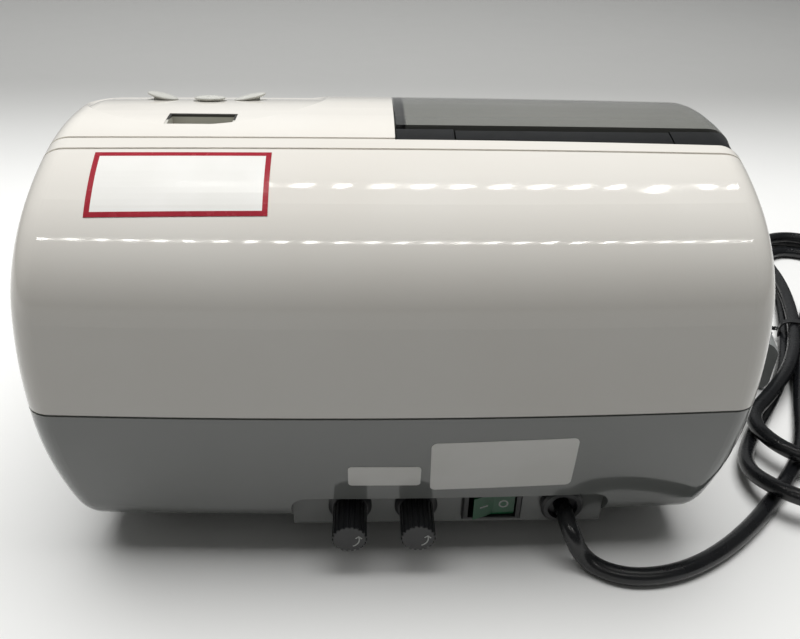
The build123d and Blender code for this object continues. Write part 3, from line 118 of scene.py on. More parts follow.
# %% The shared recipe
def surface(name, tone, shade, gloss, grain_mm, height_mm, patch_mm=60, stretch=(1, 1, 1), **shader):
    """A finish from two tones, a range of roughness, and a grain of a real size and height."""
    material = bpy.data.materials.new(name)
    material.use_nodes = True
    tree = material.node_tree
    tree.nodes.clear()
    place = add_node(tree, "ShaderNodeTexCoord")
    turned = add_node(tree, "ShaderNodeMapping", {"Vector": place.outputs["Object"], "Scale": stretch})
    patches = add_node(
        tree,
        "ShaderNodeTexNoise",
        {"Vector": turned.outputs["Vector"], "Scale": 1000 / patch_mm, "Detail": 3.0},
    )
    tones = add_node(tree, "ShaderNodeValToRGB", {"Fac": patches.outputs["Fac"]})
    tones.color_ramp.elements[0].position = 0.35
    tones.color_ramp.elements[0].color = linear(shade)
    tones.color_ramp.elements[1].position = 0.65
    tones.color_ramp.elements[1].color = linear(tone)
    smears = add_node(
        tree,
        "ShaderNodeTexNoise",
        {"Vector": turned.outputs["Vector"], "Scale": 4000 / patch_mm, "Detail": 5.0, "Distortion": 0.6},
    )
    polish = add_node(
        tree,
        "ShaderNodeMapRange",
        {
            "Value": smears.outputs["Fac"],
            "From Min": 0.3,
            "From Max": 0.7,
            "To Min": gloss[0],
            "To Max": gloss[1],
        },
    )
    grain = add_node(
        tree,
        "ShaderNodeTexNoise",
        {"Vector": turned.outputs["Vector"], "Scale": 1000 / grain_mm, "Detail": 2.0},
    )
    relief = add_node(
        tree,
        "ShaderNodeBump",
        {"Height": grain.outputs["Fac"], "Distance": height_mm * MM, "Strength": 1.0},
    )
    skin = add_node(
        tree,
        "ShaderNodeBsdfPrincipled",
        {
            "Base Color": tones.outputs["Color"],
            "Roughness": polish.outputs["Result"],
            "Normal": relief.outputs["Normal"],
            **shader,
        },
    )
    add_node(tree, "ShaderNodeOutputMaterial", {"Surface": skin.outputs["BSDF"]})
    return material


# %% [markdown]
# ## The plastics
# The housing is acrylonitrile-butadiene-styrene from a polished mould: almost a mirror, with a very
# faint ripple, and a skin that is a little warmer where it is thick. The tray below is the same
# plastic with grey in it. The lid is smoked polycarbonate, which lets a little of the deck through.
# Small black parts come from a spark-eroded mould and are dull.

# %% Plastics
plastics = {
    # a wet-looking warm white that mirrors lamps as sharp dashes
    "white_abs": surface(
        "abs_white_high_gloss", "#EAE7E0", "#E6E2DA", (0.05, 0.09), 9, 0.006, 90, IOR=1.54,
        **{"Coat Weight": 0.3, "Coat Roughness": 0.03},
    ),
    # the same gloss in a quiet mid grey, a shade softer
    "grey_abs": surface(
        "abs_grey_high_gloss", "#808280", "#797C79", (0.06, 0.11), 9, 0.012, 90, IOR=1.54,
        **{"Coat Weight": 0.2, "Coat Roughness": 0.05},
    ),
    # a dark pane with depth, hinting at the deck below it
    "smoked_lid": surface(
        "polycarbonate_smoked", "#7B7B75", "#73746E", (0.07, 0.12), 11, 0.010, 90, IOR=1.58, Alpha=0.86,
        **{"Coat Weight": 0.3, "Coat Roughness": 0.03},
    ),
    # a dull black with a fine sparkle at its edges
    "black_abs": surface(
        "abs_black_spark_eroded", "#1D1E1F", "#17181A", (0.30, 0.44), 0.5, 0.02, 25, IOR=1.54
    ),
    # a waxy charcoal that keeps the chamber dim
    "liner_plastic": surface(
        "polypropylene_dark", "#3B3D3F", "#343638", (0.38, 0.50), 0.6, 0.02, 30, IOR=1.49
    ),
    # a satin light grey that looks soft to press
    "button_plastic": surface(
        "abs_light_grey_satin", "#C9C9C2", "#C1C1BA", (0.20, 0.30), 0.7, 0.01, 15, IOR=1.54
    ),
    # a glassy grey pane over the digits
    "display_filter": surface(
        "acrylic_filter_smoked", "#A3A298", "#97968C", (0.06, 0.10), 6, 0.004, 20, IOR=1.49
    ),
    # a pale grey wall that shows how deep the opening is
    "well_skirt": surface(
        "polycarbonate_skirt_grey", "#D2D1C8", "#C6C5BC", (0.30, 0.42), 0.8, 0.01, 15, IOR=1.58
    ),
    # matt moulded blocks on the boards
    "component_black": surface(
        "epoxy_moulded_black", "#2A2C2E", "#232527", (0.42, 0.55), 0.4, 0.02, 12, IOR=1.5
    ),
    # a bright green that looks lit from within
    "rocker_green": surface(
        "polycarbonate_green_lens", "#1E6B43", "#175838", (0.14, 0.22), 3, 0.01, 8, IOR=1.58,
        **{"Transmission Weight": 0.15},
    ),
    # a black that shines along the top of each bend
    "cord_sheath": surface(
        "pvc_sheath_black", "#17181A", "#121315", (0.22, 0.34), 2.2, 0.03, 30, IOR=1.53
    ),
    # a rubbery grey with blurred lights
    "plug_grey": surface(
        "pvc_moulded_grey", "#8C8F8E", "#838685", (0.30, 0.42), 0.8, 0.03, 20, IOR=1.53
    ),
}
print("plastics", len(plastics))

# %% [markdown]
# ## Rubber, metal, board and glass
# Metal has no diffuse colour of its own, so its look is its roughness: cast aluminium is pebbled,
# turned steel carries fine rings, rolled and plated sheet is soft, and stacked laminations show as
# lines a third of a millimetre apart.

# %% The other finishes
others = {
    # the dullest black, with no lights in it
    "rubber": surface("rubber_moulded", "#191A1B", "#131415", (0.62, 0.78), 0.6, 0.04, 15, IOR=1.52),
    # fine bright rings round the shaft
    "steel": surface(
        "steel_turned", "#B4B6B8", "#A2A5A8", (0.20, 0.34), 0.5, 0.01, 8, (6, 1, 1), Metallic=1.0
    ),
    # a soft cold sheen with faint clouds
    "zinc_sheet": surface(
        "steel_zinc_plated", "#B9BDBE", "#A4A8AA", (0.28, 0.42), 1.4, 0.01, 18, Metallic=1.0
    ),
    # a pebbled light grey casting
    "aluminium": surface("aluminium_cast", "#B7B9BA", "#A6A8A9", (0.36, 0.52), 0.7, 0.05, 14, Metallic=1.0),
    # a thick near-black coat with broad lights
    "motor_paint": surface("enamel_motor_black", "#34373A", "#2B2E30", (0.30, 0.42), 1.0, 0.03, 25, IOR=1.5),
    # a stack of thin lines on dark metal
    "laminations": surface(
        "steel_laminated", "#707274", "#5A5C5E", (0.40, 0.55), 0.35, 0.06, 12, (1, 0.05, 0.05), Metallic=1.0
    ),
    # a warm red-brown coil, wire by wire
    "copper": surface(
        "copper_enamelled_winding", "#A5602E", "#8C4D22", (0.25, 0.38), 0.6, 0.08, 10, (0.1, 1, 1),
        Metallic=1.0,
    ),
    # small yellow glints at the terminals
    "brass": surface("brass_stamped", "#BE9650", "#A98241", (0.24, 0.38), 0.9, 0.01, 10, Metallic=1.0),
    # a semi-gloss green plate
    "board_green": surface(
        "epoxy_board_solder_mask", "#20603B", "#1A4F30", (0.24, 0.36), 1.8, 0.03, 9, IOR=1.55
    ),
    # a clear tube seen mostly by its lights
    "glass_clear": surface(
        "glass_soda_lime_tube", "#E4EAEA", "#DCE3E3", (0.03, 0.06), 6, 0.002, 20, IOR=1.52, Alpha=0.5
    ),
    # the brightest metal, on the pins and the caps of the fuses
    "nickel": surface("nickel_plated_brass", "#C4C5C4", "#B2B4B4", (0.12, 0.24), 1.2, 0.01, 9, Metallic=1.0),
}
finishes = {**plastics, **others}
print("finishes", len(finishes))

# %% [markdown]
# ## Dressing the solids
# Each solid names a finish slot in its record, so the finishes above go straight onto the frame.

# %% Put each finish on its solids
for part in frame["record"]["subparts"]:
    solid = nodes[part["node"]]
    solid.data.materials.clear()
    solid.data.materials.append(finishes[part["material_slot"]])

# %% [markdown]
# ## The dark edge of the lid
# The lid is a shell of smoked plastic, and where its side wall turns down the eye looks through far
# more of it, so the border is nearly black. The border is a tone that depends on how far along the
# machine a point lies, in real millimetres, and there is one at each end of the lid.

# %% Darker where each end wall of the lid is seen edge on
lid_ends = ((-2.6, -1.9), (-104.3, -105.3))
for clear, dark in lid_ends:
    toned_along(finishes["smoked_lid"], (1, 0, 0), clear * MM, dark * MM, "#161716")
print("lid borders", len(lid_ends))

# %% [markdown]
# ## The camera
# The lens and the stand are set so that the machine is seen from behind and a little above, with
# the socket panel and the lead towards the eye. A pinhole needs a place, three directions and a
# focal length.

# %% Camera
focal_px, image_width = 765.5, 800
lean_down, swing, roll = radians(32.33), radians(-2.95), radians(1.51)
ahead = Vector((sin(swing) * cos(lean_down), -cos(swing) * cos(lean_down), -sin(lean_down)))
right = ahead.cross(Vector((0, 0, 1))).normalized()
upward = right.cross(ahead)
right, upward = right * cos(roll) + upward * sin(roll), upward * cos(roll) - right * sin(roll)
eye = Vector((10.23, 281.36, 222.32)) * MM
lens = bpy.data.cameras.new("studio_camera")
lens.sensor_width = 36.0
lens.lens = focal_px * lens.sensor_width / image_width
lens.clip_start = 0.01
camera = bpy.data.objects.new("studio_camera", lens)
camera.matrix_world = Matrix(
    [[right[i], upward[i], -ahead[i], eye[i]] for i in range(3)] + [[0, 0, 0, 1]]
)
bpy.context.scene.collection.objects.link(camera)
bpy.context.scene.camera = camera
bpy.context.scene.view_settings.view_transform = "Standard"
print("lens", round(lens.lens, 2), "mm")

# %% [markdown]
# ## The stage and the light
# A studio table: a pale top with painted shade that greys it towards the far side, one large soft
# panel overhead and two rows of small ceiling lights. The panel is kept out of the mirror of glossy
# plastic, which otherwise burns out, and the small lights are what it mirrors instead: short bright
# dashes that tell the eye how smooth the plastic is and how it bends. A pale table also throws light
# up under the round belly, which flattens it. So the pale top only shows and is mirrored, and what
# sends soft light back up is a grey felt under it, which nothing sees: the belly keeps its shade.

# %% Table and wall
floor_finish = surface("paint_matt_pale_table", "#F2F2F0", "#EEEEEC", (0.5, 0.62), 1.5, 0.02, 400)
felt_finish = surface("felt_grey_under_table", "#A4A4A3", "#A0A09F", (0.8, 0.9), 2.0, 0.03, 500)
wall_finish = surface("paint_matt_pale_wall", "#BFC0C0", "#BBBCBC", (0.8, 0.9), 2.0, 0.03, 500)


def panel(name, corners, finish):
    """A flat stage panel in a grid of faces."""
    shape, steps = bpy.data.meshes.new(name), 8
    a, b, c, d = [Vector(p) for p in corners]
    points = [
        a.lerp(b, i / steps).lerp(d.lerp(c, i / steps), j / steps)
        for j in range(steps + 1)
        for i in range(steps + 1)
    ]
    row = steps + 1
    faces = [
        (j * row + i, j * row + i + 1, (j + 1) * row + i + 1, (j + 1) * row + i)
        for j in range(steps)
        for i in range(steps)
    ]
    shape.from_pydata(points, [], faces)
    shape.materials.append(finish)
    board = bpy.data.objects.new(name, shape)
    bpy.context.scene.collection.objects.link(board)
    return board


def lying(height):
    """The corners of the table at a height, in metres."""
    return [(-2.4, -1.3, height), (2.4, -1.3, height), (2.4, 1.9, height), (-2.4, 1.9, height)]


table_top = panel("table_top", lying(0), floor_finish)
table_top.visible_diffuse = table_top.visible_shadow = False
table_felt = panel("table_felt", lying(-0.002), felt_finish)
table_felt.visible_camera = table_felt.visible_glossy = False
panel("back_wall", [(2.4, -1.3, 0), (-2.4, -1.3, 0), (-2.4, -1.3, 2.4), (2.4, -1.3, 2.4)], wall_finish)
# painted shade: the pale table top greys from here towards the far side, as if less light reached it
table_shade_start_y, table_shade_full_y = -0.18, -0.55
toned_along(floor_finish, (0, 1, 0), table_shade_start_y, table_shade_full_y, "#ABABA9", "SMOOTHSTEP")
print("table and wall")


# %% The soft panel and the rows of small lights
lamp = bpy.data.lights.new("overhead_panel", "AREA")
lamp.shape = "RECTANGLE"
lamp.size, lamp.size_y = 1.9, 1.1
lamp.energy = 37
overhead = bpy.data.objects.new("overhead_panel", lamp)
overhead.location = (0.1, -0.22, 1.6)
overhead.rotation_euler = Vector((0, 0, -1)).to_track_quat("-Z", "Y").to_euler()
overhead.visible_glossy = False
bpy.context.scene.collection.objects.link(overhead)
glow = bpy.data.materials.new("ceiling_light_diffuser")
glow.use_nodes = True
glow.node_tree.nodes.clear()
lit = add_node(glow.node_tree, "ShaderNodeEmission", {"Color": linear("#FFFDF8"), "Strength": 30.0})
add_node(glow.node_tree, "ShaderNodeOutputMaterial", {"Surface": lit.outputs["Emission"]})
ceiling_z, dash_pitch, dash_long, dash_deep, dash_slant = 1.7, 0.1, 0.034, 0.07, 0.02
dashes, dash_faces = [], []
for row_y, row_x, count in ((1.30, -1.32, 25), (-0.12, -0.95, 15)):
    for k in range(count):
        x, n, back_y = row_x + dash_pitch * k, len(dashes), row_y + dash_deep
        dashes += [(x, row_y, ceiling_z), (x + dash_long, row_y, ceiling_z)]
        dashes += [(x + dash_slant + dash_long, back_y, ceiling_z), (x + dash_slant, back_y, ceiling_z)]
        dash_faces.append((n + 3, n + 2, n + 1, n))
ceiling = bpy.data.meshes.new("ceiling_lights")
ceiling.from_pydata(dashes, [], dash_faces)
ceiling.materials.append(glow)
ceiling_lights = bpy.data.objects.new("ceiling_lights", ceiling)
bpy.context.scene.collection.objects.link(ceiling_lights)
ceiling_lights.visible_diffuse = False
sky = bpy.data.worlds.new("studio_air")
sky.use_nodes = True
sky.node_tree.nodes["Background"].inputs["Color"].default_value = linear("#F4F4F2")
sky.node_tree.nodes["Background"].inputs["Strength"].default_value = 0.12
bpy.context.scene.world = sky
print("one panel and", len(dash_faces), "ceiling lights")

# %% [markdown]
# ## The mains lead and its tied bundle
# The lead is one length of round 6.4 mm cord. It drops out of its bushing, swings along the table,
# and the rest is still folded into the hank it was sold with: two and a half long loops, held at
# the waist by a wire tie, ending in the plug. It is drawn as one NURBS line, because a NURBS bends
# the way a cord does, with no straight pieces between its points. The loops are given in the hank's
# own directions, as a distance along it, a distance across it and a height. Where one strand passes
# over another, it is one diameter higher.

# %% The line of the cord, in mm
cord_thick = 6.4
run_to_hank = (
    (-60.2, 79.5, 18.8),
    (-60.2, 95.5, 18.8),
    (-67.5, 98.5, 3.4),
    (-80.5, 106.0, 3.4),
    (-99.5, 104.5, 3.4),
    (-119.0, 95.5, 3.4),
    (-139.0, 80.5, 3.4),
    (-160.0, 60.0, 3.4),
)
first_loop = (
    (28, -1, 3.4), (70, 0, 3.4), (122, 0, 3.4), (165, -5, 3.4), (196, -16, 3.4),
    (215, -21.5, 3.4), (231, -9.5, 3.4), (231, 9.5, 3.4), (215, 21.5, 3.4),
    (196, 16.5, 3.4), (165, 9.5, 3.4), (122, 6.8, 3.4), (85, 7.5, 3.4), (55, 13, 3.4),
    (28, 20, 3.4), (3, 22.5, 6.0), (-12, 9.5, 11.4), (-12, -9.5, 10.6), (3, -23.5, 10.2),
)
second_loop = (
    (32, -25.5, 10.4), (60, -14.5, 10.4), (85, -6.0, 10.2), (122, -3.4, 9.8), (165, -10.5, 9.8),
    (196, -21, 9.8), (222, -27, 9.8), (240, -10.5, 9.8), (240, 10.5, 9.8), (222, 26, 9.8),
    (196, 20.5, 9.8), (165, 9.5, 10.2), (122, 3.4, 9.8), (85, 5, 10.1), (55, 14, 10.2),
    (31, 23, 10.2), (15, 9.5, 10.8), (15, -9.5, 9.8), (30, -21.5, 4.4),
)
last_half = (
    (54, -14.5, 3.4), (85, -9.0, 3.4), (122, -6.8, 3.4), (165, -13.5, 3.4), (196, -25.5, 3.4),
    (229, -30, 3.4), (247, -12, 3.4), (247, 12, 3.4), (229, 29, 3.4), (203, 25, 3.4), (181, 20, 3.4),
)
run_to_plug = ((-209.5, -85.0, 3.8), (-197.5, -63.0, 12.0), (-185.0, -41.4, 13.0))
hank_start, hank_heading = Vector((-163, 66, 0)), radians(244.2)
hank_along = Vector((cos(hank_heading), sin(hank_heading), 0))
hank_across = Vector((-sin(hank_heading), cos(hank_heading), 0))


def in_hank(along, across, height):
    """A point of the hank in the object's own frame, in mm."""
    return hank_start + hank_along * along + hank_across * across + Vector((0, 0, height))


line = [Vector(p) for p in run_to_hank]
line += [in_hank(*p) for p in first_loop + second_loop + last_half]
line += [Vector(p) for p in run_to_plug]
print("control points", len(line))

# %% The cord itself
cord_curve = bpy.data.curves.new("mains_lead", "CURVE")
cord_curve.dimensions = "3D"
cord_curve.bevel_depth = cord_thick / 2 * MM
cord_curve.bevel_resolution = 5
cord_curve.resolution_u = 10
cord_curve.use_fill_caps = True
spline = cord_curve.splines.new("NURBS")
spline.points.add(len(line) - 1)
for point, place in zip(spline.points, line):
    point.co = (*(place * MM), 1.0)
spline.order_u = 3
spline.use_endpoint_u = True
cord_curve.materials.append(finishes["cord_sheath"])
mains_lead = bpy.data.objects.new("mains_lead", cord_curve)
bpy.context.scene.collection.objects.link(mains_lead)
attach(mains_lead, "machine")
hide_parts("mains_cord", "cord_hank")
print("cord of", cord_thick, "mm")

# %% [markdown]
# ## The wire tie
# A flat plastic strip with a wire in it goes once round the five strands and its ends are twisted
# together. The strip is a flat section carried round a rounded outline; the twist is two strips
# that turn round each other.


# %% Closed strips along a line
def new_piece(name, points, faces, finish, body, slot):
    """A mesh piece from points in mm, riding on a body."""
    shape = bpy.data.meshes.new(name)
    shape.from_pydata([Vector(p) * MM for p in points], [], faces)
    work = bmesh.new()
    work.from_mesh(shape)
    bmesh.ops.recalc_face_normals(work, faces=work.faces)
    work.to_mesh(shape)
    work.free()
    shape.materials.append(finish)
    piece = bpy.data.objects.new(name, shape)
    bpy.context.scene.collection.objects.link(piece)
    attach(piece, body)
    return piece


def strip(middle, across, outward, width, thick, closed):
    """Points and faces of a flat strip that follows a line of points."""
    points, faces = [], []
    for place, side, out in zip(middle, across, outward):
        half, up = side * width / 2, out * thick / 2
        points += [place - half - up, place + half - up, place + half + up, place - half + up]
    count = len(middle)
    for i in range(count if closed else count - 1):
        a, b = 4 * i, 4 * ((i + 1) % count)
        faces += [(a + k, a + (k + 1) % 4, b + (k + 1) % 4, b + k) for k in range(4)]
    if not closed:
        faces += [(3, 2, 1, 0), tuple(4 * (count - 1) + k for k in range(4))]
    return points, faces


def joined(parts):
    """One list of points and faces from several."""
    points, faces = [], []
    for more_points, more_faces in parts:
        faces += [tuple(len(points) + i for i in face) for face in more_faces]
        points += more_points
    return points, faces


print("strip helpers ready")

# %% The tie
tie_at, tie_width, tie_thick = 122, 3.5, 0.8
tie_half_wide, tie_half_high, tie_steps = 10.7, 6.75, 64
tie_middle, tie_out = [], []
for i in range(tie_steps):
    turn = 2 * pi * i / tie_steps
    squared = (abs(cos(turn)) ** 3 + abs(sin(turn)) ** 3) ** (-1 / 3)
    wide, high = cos(turn) * squared * tie_half_wide, sin(turn) * squared * tie_half_high
    tie_middle.append(in_hank(tie_at, wide, 7.0 + high))
    tie_out.append((hank_across * wide / tie_half_wide + Vector((0, 0, high / tie_half_high))).normalized())
band = strip(tie_middle, [hank_along] * tie_steps, tie_out, tie_width, tie_thick, True)
twist_steps, twist_long, twist_turns, twist_width, twist_thick = 40, 15, 3, 1.8, 0.5
upright = Vector((0, 0, 1))
tails = []
for phase in (0, pi):
    middle, side, out = [], [], []
    for i in range(twist_steps):
        far = i / (twist_steps - 1)
        turn = phase + 2 * pi * twist_turns * far
        spread = 0.5 + 2.0 * max(0, far - 0.75) * 4
        around = hank_along * cos(turn) + upright * sin(turn)
        core = in_hank(tie_at, tie_half_wide + 0.6 + twist_long * far, 7.2 - 2.5 * far)
        middle.append(core + around * spread)
        side.append(hank_along * -sin(turn) + upright * cos(turn))
        out.append(around)
    tails.append(strip(middle, side, out, twist_width, twist_thick, False))
wire_tie = new_piece("wire_tie", *joined([band] + tails), finishes["black_abs"], "machine", "black_abs")
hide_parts("cord_tie")
print("tie faces", len(wire_tie.data.polygons))

# %% [markdown]
# ## Stickers
# Three vinyl stickers sit on the back: a red-edged one on the slope, and two plain ones over the
# sockets. A sticker takes the shape of whatever it is stuck to, so each is a fine grid whose every
# point is dropped straight onto the solid below and lifted by the thickness of the vinyl. Its
# corners are pulled in to a radius. They are left bare, and the red edge is a second finish on the
# outer ring of faces.

# %% Finding the skin of a solid
paper = surface("vinyl_sticker_white", "#F1F0EC", "#ECEBE6", (0.16, 0.26), 1.2, 0.004, 25, IOR=1.5)
red_ink = surface("ink_screen_printed_red", "#A52B38", "#9C2533", (0.20, 0.30), 0.5, 0.004, 12, IOR=1.5)
white_ink = surface("ink_pad_printed_white", "#C2C4C1", "#B6B8B5", (0.30, 0.42), 0.3, 0.006, 3, IOR=1.5)


def skin_of(solid):
    """A tree that finds where a ray meets a CAD solid."""
    shape = nodes[solid].data
    return BVHTree.FromPolygons([v.co for v in shape.vertices], [p.vertices for p in shape.polygons])


ray_run_up = 30


def dropped(tree, place, toward, lift):
    """The point in mm where a ray from above a place meets the skin, lifted off it by so much."""
    hit, normal, _, _ = tree.ray_cast((place - toward * ray_run_up) * MM, toward)
    if normal.dot(toward) > 0:
        normal = -normal
    return hit / MM + normal * lift


rear_skin, tray_skin = skin_of("rear_shell"), skin_of("base_tray")
print("skins ready")


# %% A sticker from four corners
vinyl_thick, vinyl_gap, face_size, rim_rows = 0.12, 0.03, 2, 4


def sticker(name, corners, toward, tree, rim, rounding, edge_finish=None):
    """A closed thin sheet, laid on a skin, whose outer ring may have a finish of its own."""
    (a, b, c, d), toward = [Vector(p) for p in corners], Vector(toward).normalized()
    wide, high = (b - a).length, (d - a).length
    ring = [rim * k / rim_rows for k in range(rim_rows + 1)]

    def marks(length):
        inner = max(4, round((length - 2 * rim) / face_size))
        between = [rim + (length - 2 * rim) * k / inner for k in range(1, inner)]
        return ring + between + [length - r for r in reversed(ring)]

    across, down = marks(wide), marks(high)
    tops, unders = [], []
    for y in down:
        for x in across:
            dx, dy = rounding - min(x, wide - x), rounding - min(y, high - y)
            pull = max(dx, dy) / (dx * dx + dy * dy) ** 0.5 if dx > 0 and dy > 0 else 1
            px = x if pull == 1 else (rounding - dx * pull if x < wide / 2 else wide - rounding + dx * pull)
            py = y if pull == 1 else (rounding - dy * pull if y < high / 2 else high - rounding + dy * pull)
            place = a + (b - a) * px / wide + (d - a) * py / high
            tops.append(dropped(tree, place, toward, vinyl_gap + vinyl_thick))
            unders.append(dropped(tree, place, toward, vinyl_gap))
    row, column = len(across), len(down)
    under = len(tops)
    faces, edged = [], []
    for j in range(column - 1):
        for i in range(row - 1):
            n = j * row + i
            quad = (n, n + 1, n + row + 1, n + row)
            outer = min(i, row - 2 - i, j, column - 2 - j) < rim_rows
            faces += [quad, tuple(under + k for k in reversed(quad))]
            edged += [outer, outer]
    rim_line = (
        list(range(row - 1))
        + [j * row + row - 1 for j in range(column - 1)]
        + [(column - 1) * row + i for i in range(row - 1, 0, -1)]
        + [j * row for j in range(column - 1, 0, -1)]
    )
    for n, m in zip(rim_line, rim_line[1:] + rim_line[:1]):
        faces.append((n, m, under + m, under + n))
        edged.append(True)
    piece = new_piece(name, tops + unders, faces, paper, "machine", "white_abs")
    if edge_finish:
        piece.data.materials.append(edge_finish)
        for polygon, outer in zip(piece.data.polygons, edged):
            polygon.material_index = int(outer)
    return piece


slope_sticker = sticker(
    "slope_sticker",
    [(90.9, 58.8, 140.3), (38.6, 58.8, 140.3), (38.6, 79.0, 129.0), (90.9, 79.0, 129.0)],
    (0, -0.49, -0.87),
    rear_skin,
    1.6,
    0.0,
    red_ink,
)
socket_sticker = sticker(
    "socket_sticker",
    [(-10.6, 90, 57.2), (-58.9, 90, 58.6), (-59.5, 90, 35.4), (-11.2, 90, 33.8)],
    (0, -1, 0),
    tray_skin,
    2.0,
    2.0,
)
fuse_sticker = sticker(
    "fuse_sticker",
    [(16.5, 90, 46.4), (-7.8, 90, 46.2), (-7.8, 90, 36.5), (16.5, 90, 36.7)],
    (0, -1, 0),
    tray_skin,
    1.4,
    1.4,
)
print("sticker faces", [len(s.data.polygons) for s in (slope_sticker, socket_sticker, fuse_sticker)])

# %% [markdown]
# ## Printed marks
# The rocker carries the usual bar and ring for on and off, and each fuse cap a curved arrow for the
# way it turns. Pad printing lays a thin film of ink that follows the plastic, so each mark is a
# narrow strip whose points are dropped onto the solid, and it moves with that solid.


# %% A painted line
ink_thick = 0.06


def painted(name, paths, centre, width, solid, body, slot):
    """Ink lines on a solid that faces +Y. A path is a list of (right, up) in mm and may be closed."""
    tree, toward, parts = skin_of(solid), Vector((0, -1, 0)), []
    for path, closed in paths:
        flat = [Vector((centre[0] - u, centre[1], centre[2] + v)) for u, v in path]
        count = len(flat)
        middle, side, out = [], [], []
        for i, place in enumerate(flat):
            before = flat[(i - 1) % count] if closed or i else place
            after = flat[(i + 1) % count] if closed or i < count - 1 else place
            middle.append(dropped(tree, place, toward, ink_thick))
            side.append((after - before).normalized().cross(toward))
            out.append(-toward)
        parts.append(strip(middle, side, out, width, ink_thick, closed))
    return new_piece(name, *joined(parts), white_ink, body, slot)


def arc(radius, start, end, steps, middle=(0, 0)):
    """Points of an arc in degrees."""
    turns = [radians(start + (end - start) * k / steps) for k in range(steps + 1)]
    return [(middle[0] + radius * cos(t), middle[1] + radius * sin(t)) for t in turns]


print("painted line ready")

# %% Bar, ring and arrows
rocker_low, rocker_high = (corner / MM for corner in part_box("rocker"))
rocker_middle = (rocker_low + rocker_high) / 2
rocker_middle.y = rocker_high.y
bar = ([(-5.2 + 0.6 * k, 0.0) for k in range(6)], False)
ring = (arc(1.5, 0, 360, 28, (3.6, 0))[:-1], True)
painted("rocker_marks", [bar, ring], rocker_middle, 0.55, "rocker", "rocker", "rocker_green")
for cap in ("fuse_cap_1", "fuse_cap_2"):
    low, high = (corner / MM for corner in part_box(cap))
    middle = (low + high) / 2
    middle.y = high.y
    shaft = (arc(3.4, -70, 20, 16), False)
    head = ([(2.1, 0.5), (3.2, 1.4), (4.3, 0.3)], False)
    painted(cap + "_arrow", [shaft, head], middle, 0.45, cap, cap, "black_abs")
print("marks printed")

# %% [markdown]
# ## The three push buttons
# Each button is a lens of grey plastic whose top follows the shallow dish that it sits in, so the
# outer two lean towards the middle one. It is one moulding with a flange under the shell, which
# keeps it in, and a stem over the switch. It is built from ovals along the normal of the sloping
# panel: stem, flange, a wall that ends just under the shell's surface, and then the lens, whose
# underside is hollowed away so that its thin rim floats and throws a shadow. The lens leans by
# adding a slope to its heights, which may not go below the wall's top.

# %% Lens buttons, in mm along the panel's own directions
panel_lean = radians(7.0)
panel_right = Vector((1, 0, 0))
panel_back = Vector((0, cos(panel_lean), sin(panel_lean)))
panel_up = Vector((0, -sin(panel_lean), cos(panel_lean)))
stem_tip, flange_low, flange_high, wall_top, button_rim = 135.6, 136.3, 137.5, 139.6, 141.0
half_length, half_height, stem_radius, flange_overlap = 5.4, 3.2, 1.6, 1.2
lens_belly, lens_dome, neck, wall_clearance, smooth_above = 0.6, 0.75, 0.62, 0.02, 139
lens_bend = ((neck, -1), (0.84, -0.9), (0.95, -0.65), (0.99, -0.3), (1, 0.05), (0.985, 0.26),
             (0.93, 0.44), (0.82, 0.64), (0.64, 0.84), (0.42, 0.96), (0.2, 1.0))


def lens_button(name, place, turn, lean):
    """A lens-shaped oval button on a flange and a stem, whose lens rises along its length."""
    flange = (half_length + flange_overlap, half_height + flange_overlap)
    sections = [
        (stem_radius, stem_radius, stem_tip),
        (stem_radius, stem_radius, flange_low),
        (*flange, flange_low),
        (*flange, flange_high),
        (half_length, half_height, flange_high),
        (half_length, half_height, wall_top),
        (half_length * neck, half_height * neck, wall_top),
    ]
    solid_rows = len(sections)
    for reach, rise in lens_bend:
        height = button_rim + rise * (lens_dome if rise > 0 else lens_belly)
        sections.append((half_length * reach, half_height * reach, height))
    around, points, faces = 56, [], []
    long_way = panel_right * cos(turn) + panel_back * sin(turn)
    short_way = panel_back * cos(turn) - panel_right * sin(turn)
    middle = panel_right * place[0] + panel_back * place[1]
    for row, (a, b, height) in enumerate(sections):
        for i in range(around):
            t = 2 * pi * i / around
            level = height
            if row >= solid_rows:
                level = max(height + lean * a * cos(t), wall_top + wall_clearance)
            points.append(middle + long_way * a * cos(t) + short_way * b * sin(t) + panel_up * level)
    for r in range(len(sections) - 1):
        for i in range(around):
            j = (i + 1) % around
            faces.append((r * around + i, r * around + j, (r + 1) * around + j, (r + 1) * around + i))
    points += [middle + panel_up * (button_rim + 1.01 * lens_dome), middle + panel_up * stem_tip]
    top, bottom, last = len(points) - 2, len(points) - 1, (len(sections) - 1) * around
    for i in range(around):
        j = (i + 1) % around
        faces += [(last + i, last + j, top), (j, i, bottom)]
    piece = new_piece("lens_" + name, points, faces, finishes["button_plastic"], name, "button_plastic")
    for polygon in piece.data.polygons:
        high_up = polygon.center.z > (middle.z + smooth_above) * MM
        polygon.use_smooth = high_up and polygon.normal.dot(panel_up) > 0.05
    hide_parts(name)
    return piece


fan, rise = radians(14), 0.19
lens_button("button_1", (81.5, 27.3), -fan, rise)
lens_button("button_2", (64.5, 30.9), 0, 0.0)
lens_button("button_3", (51.0, 27.3), fan, -rise)
print("buttons", 3)

# %% [markdown]
# ## The well of the display
# The digits lie a little below the white shell, and a thin grey skirt joins the edge of the
# opening to the window, so that no light shows round it. The skirt is a wall that follows
# the rectangle of the opening. Its upper edge stops just under the shell's skin and its lower edge
# stands on the window, and both heights are found by dropping points on those solids. The dish ends
# at one corner of the opening, so a height is the lower of the two that lie as mirror images. The
# skirt's top band is darker, because the shell's edge shades it.

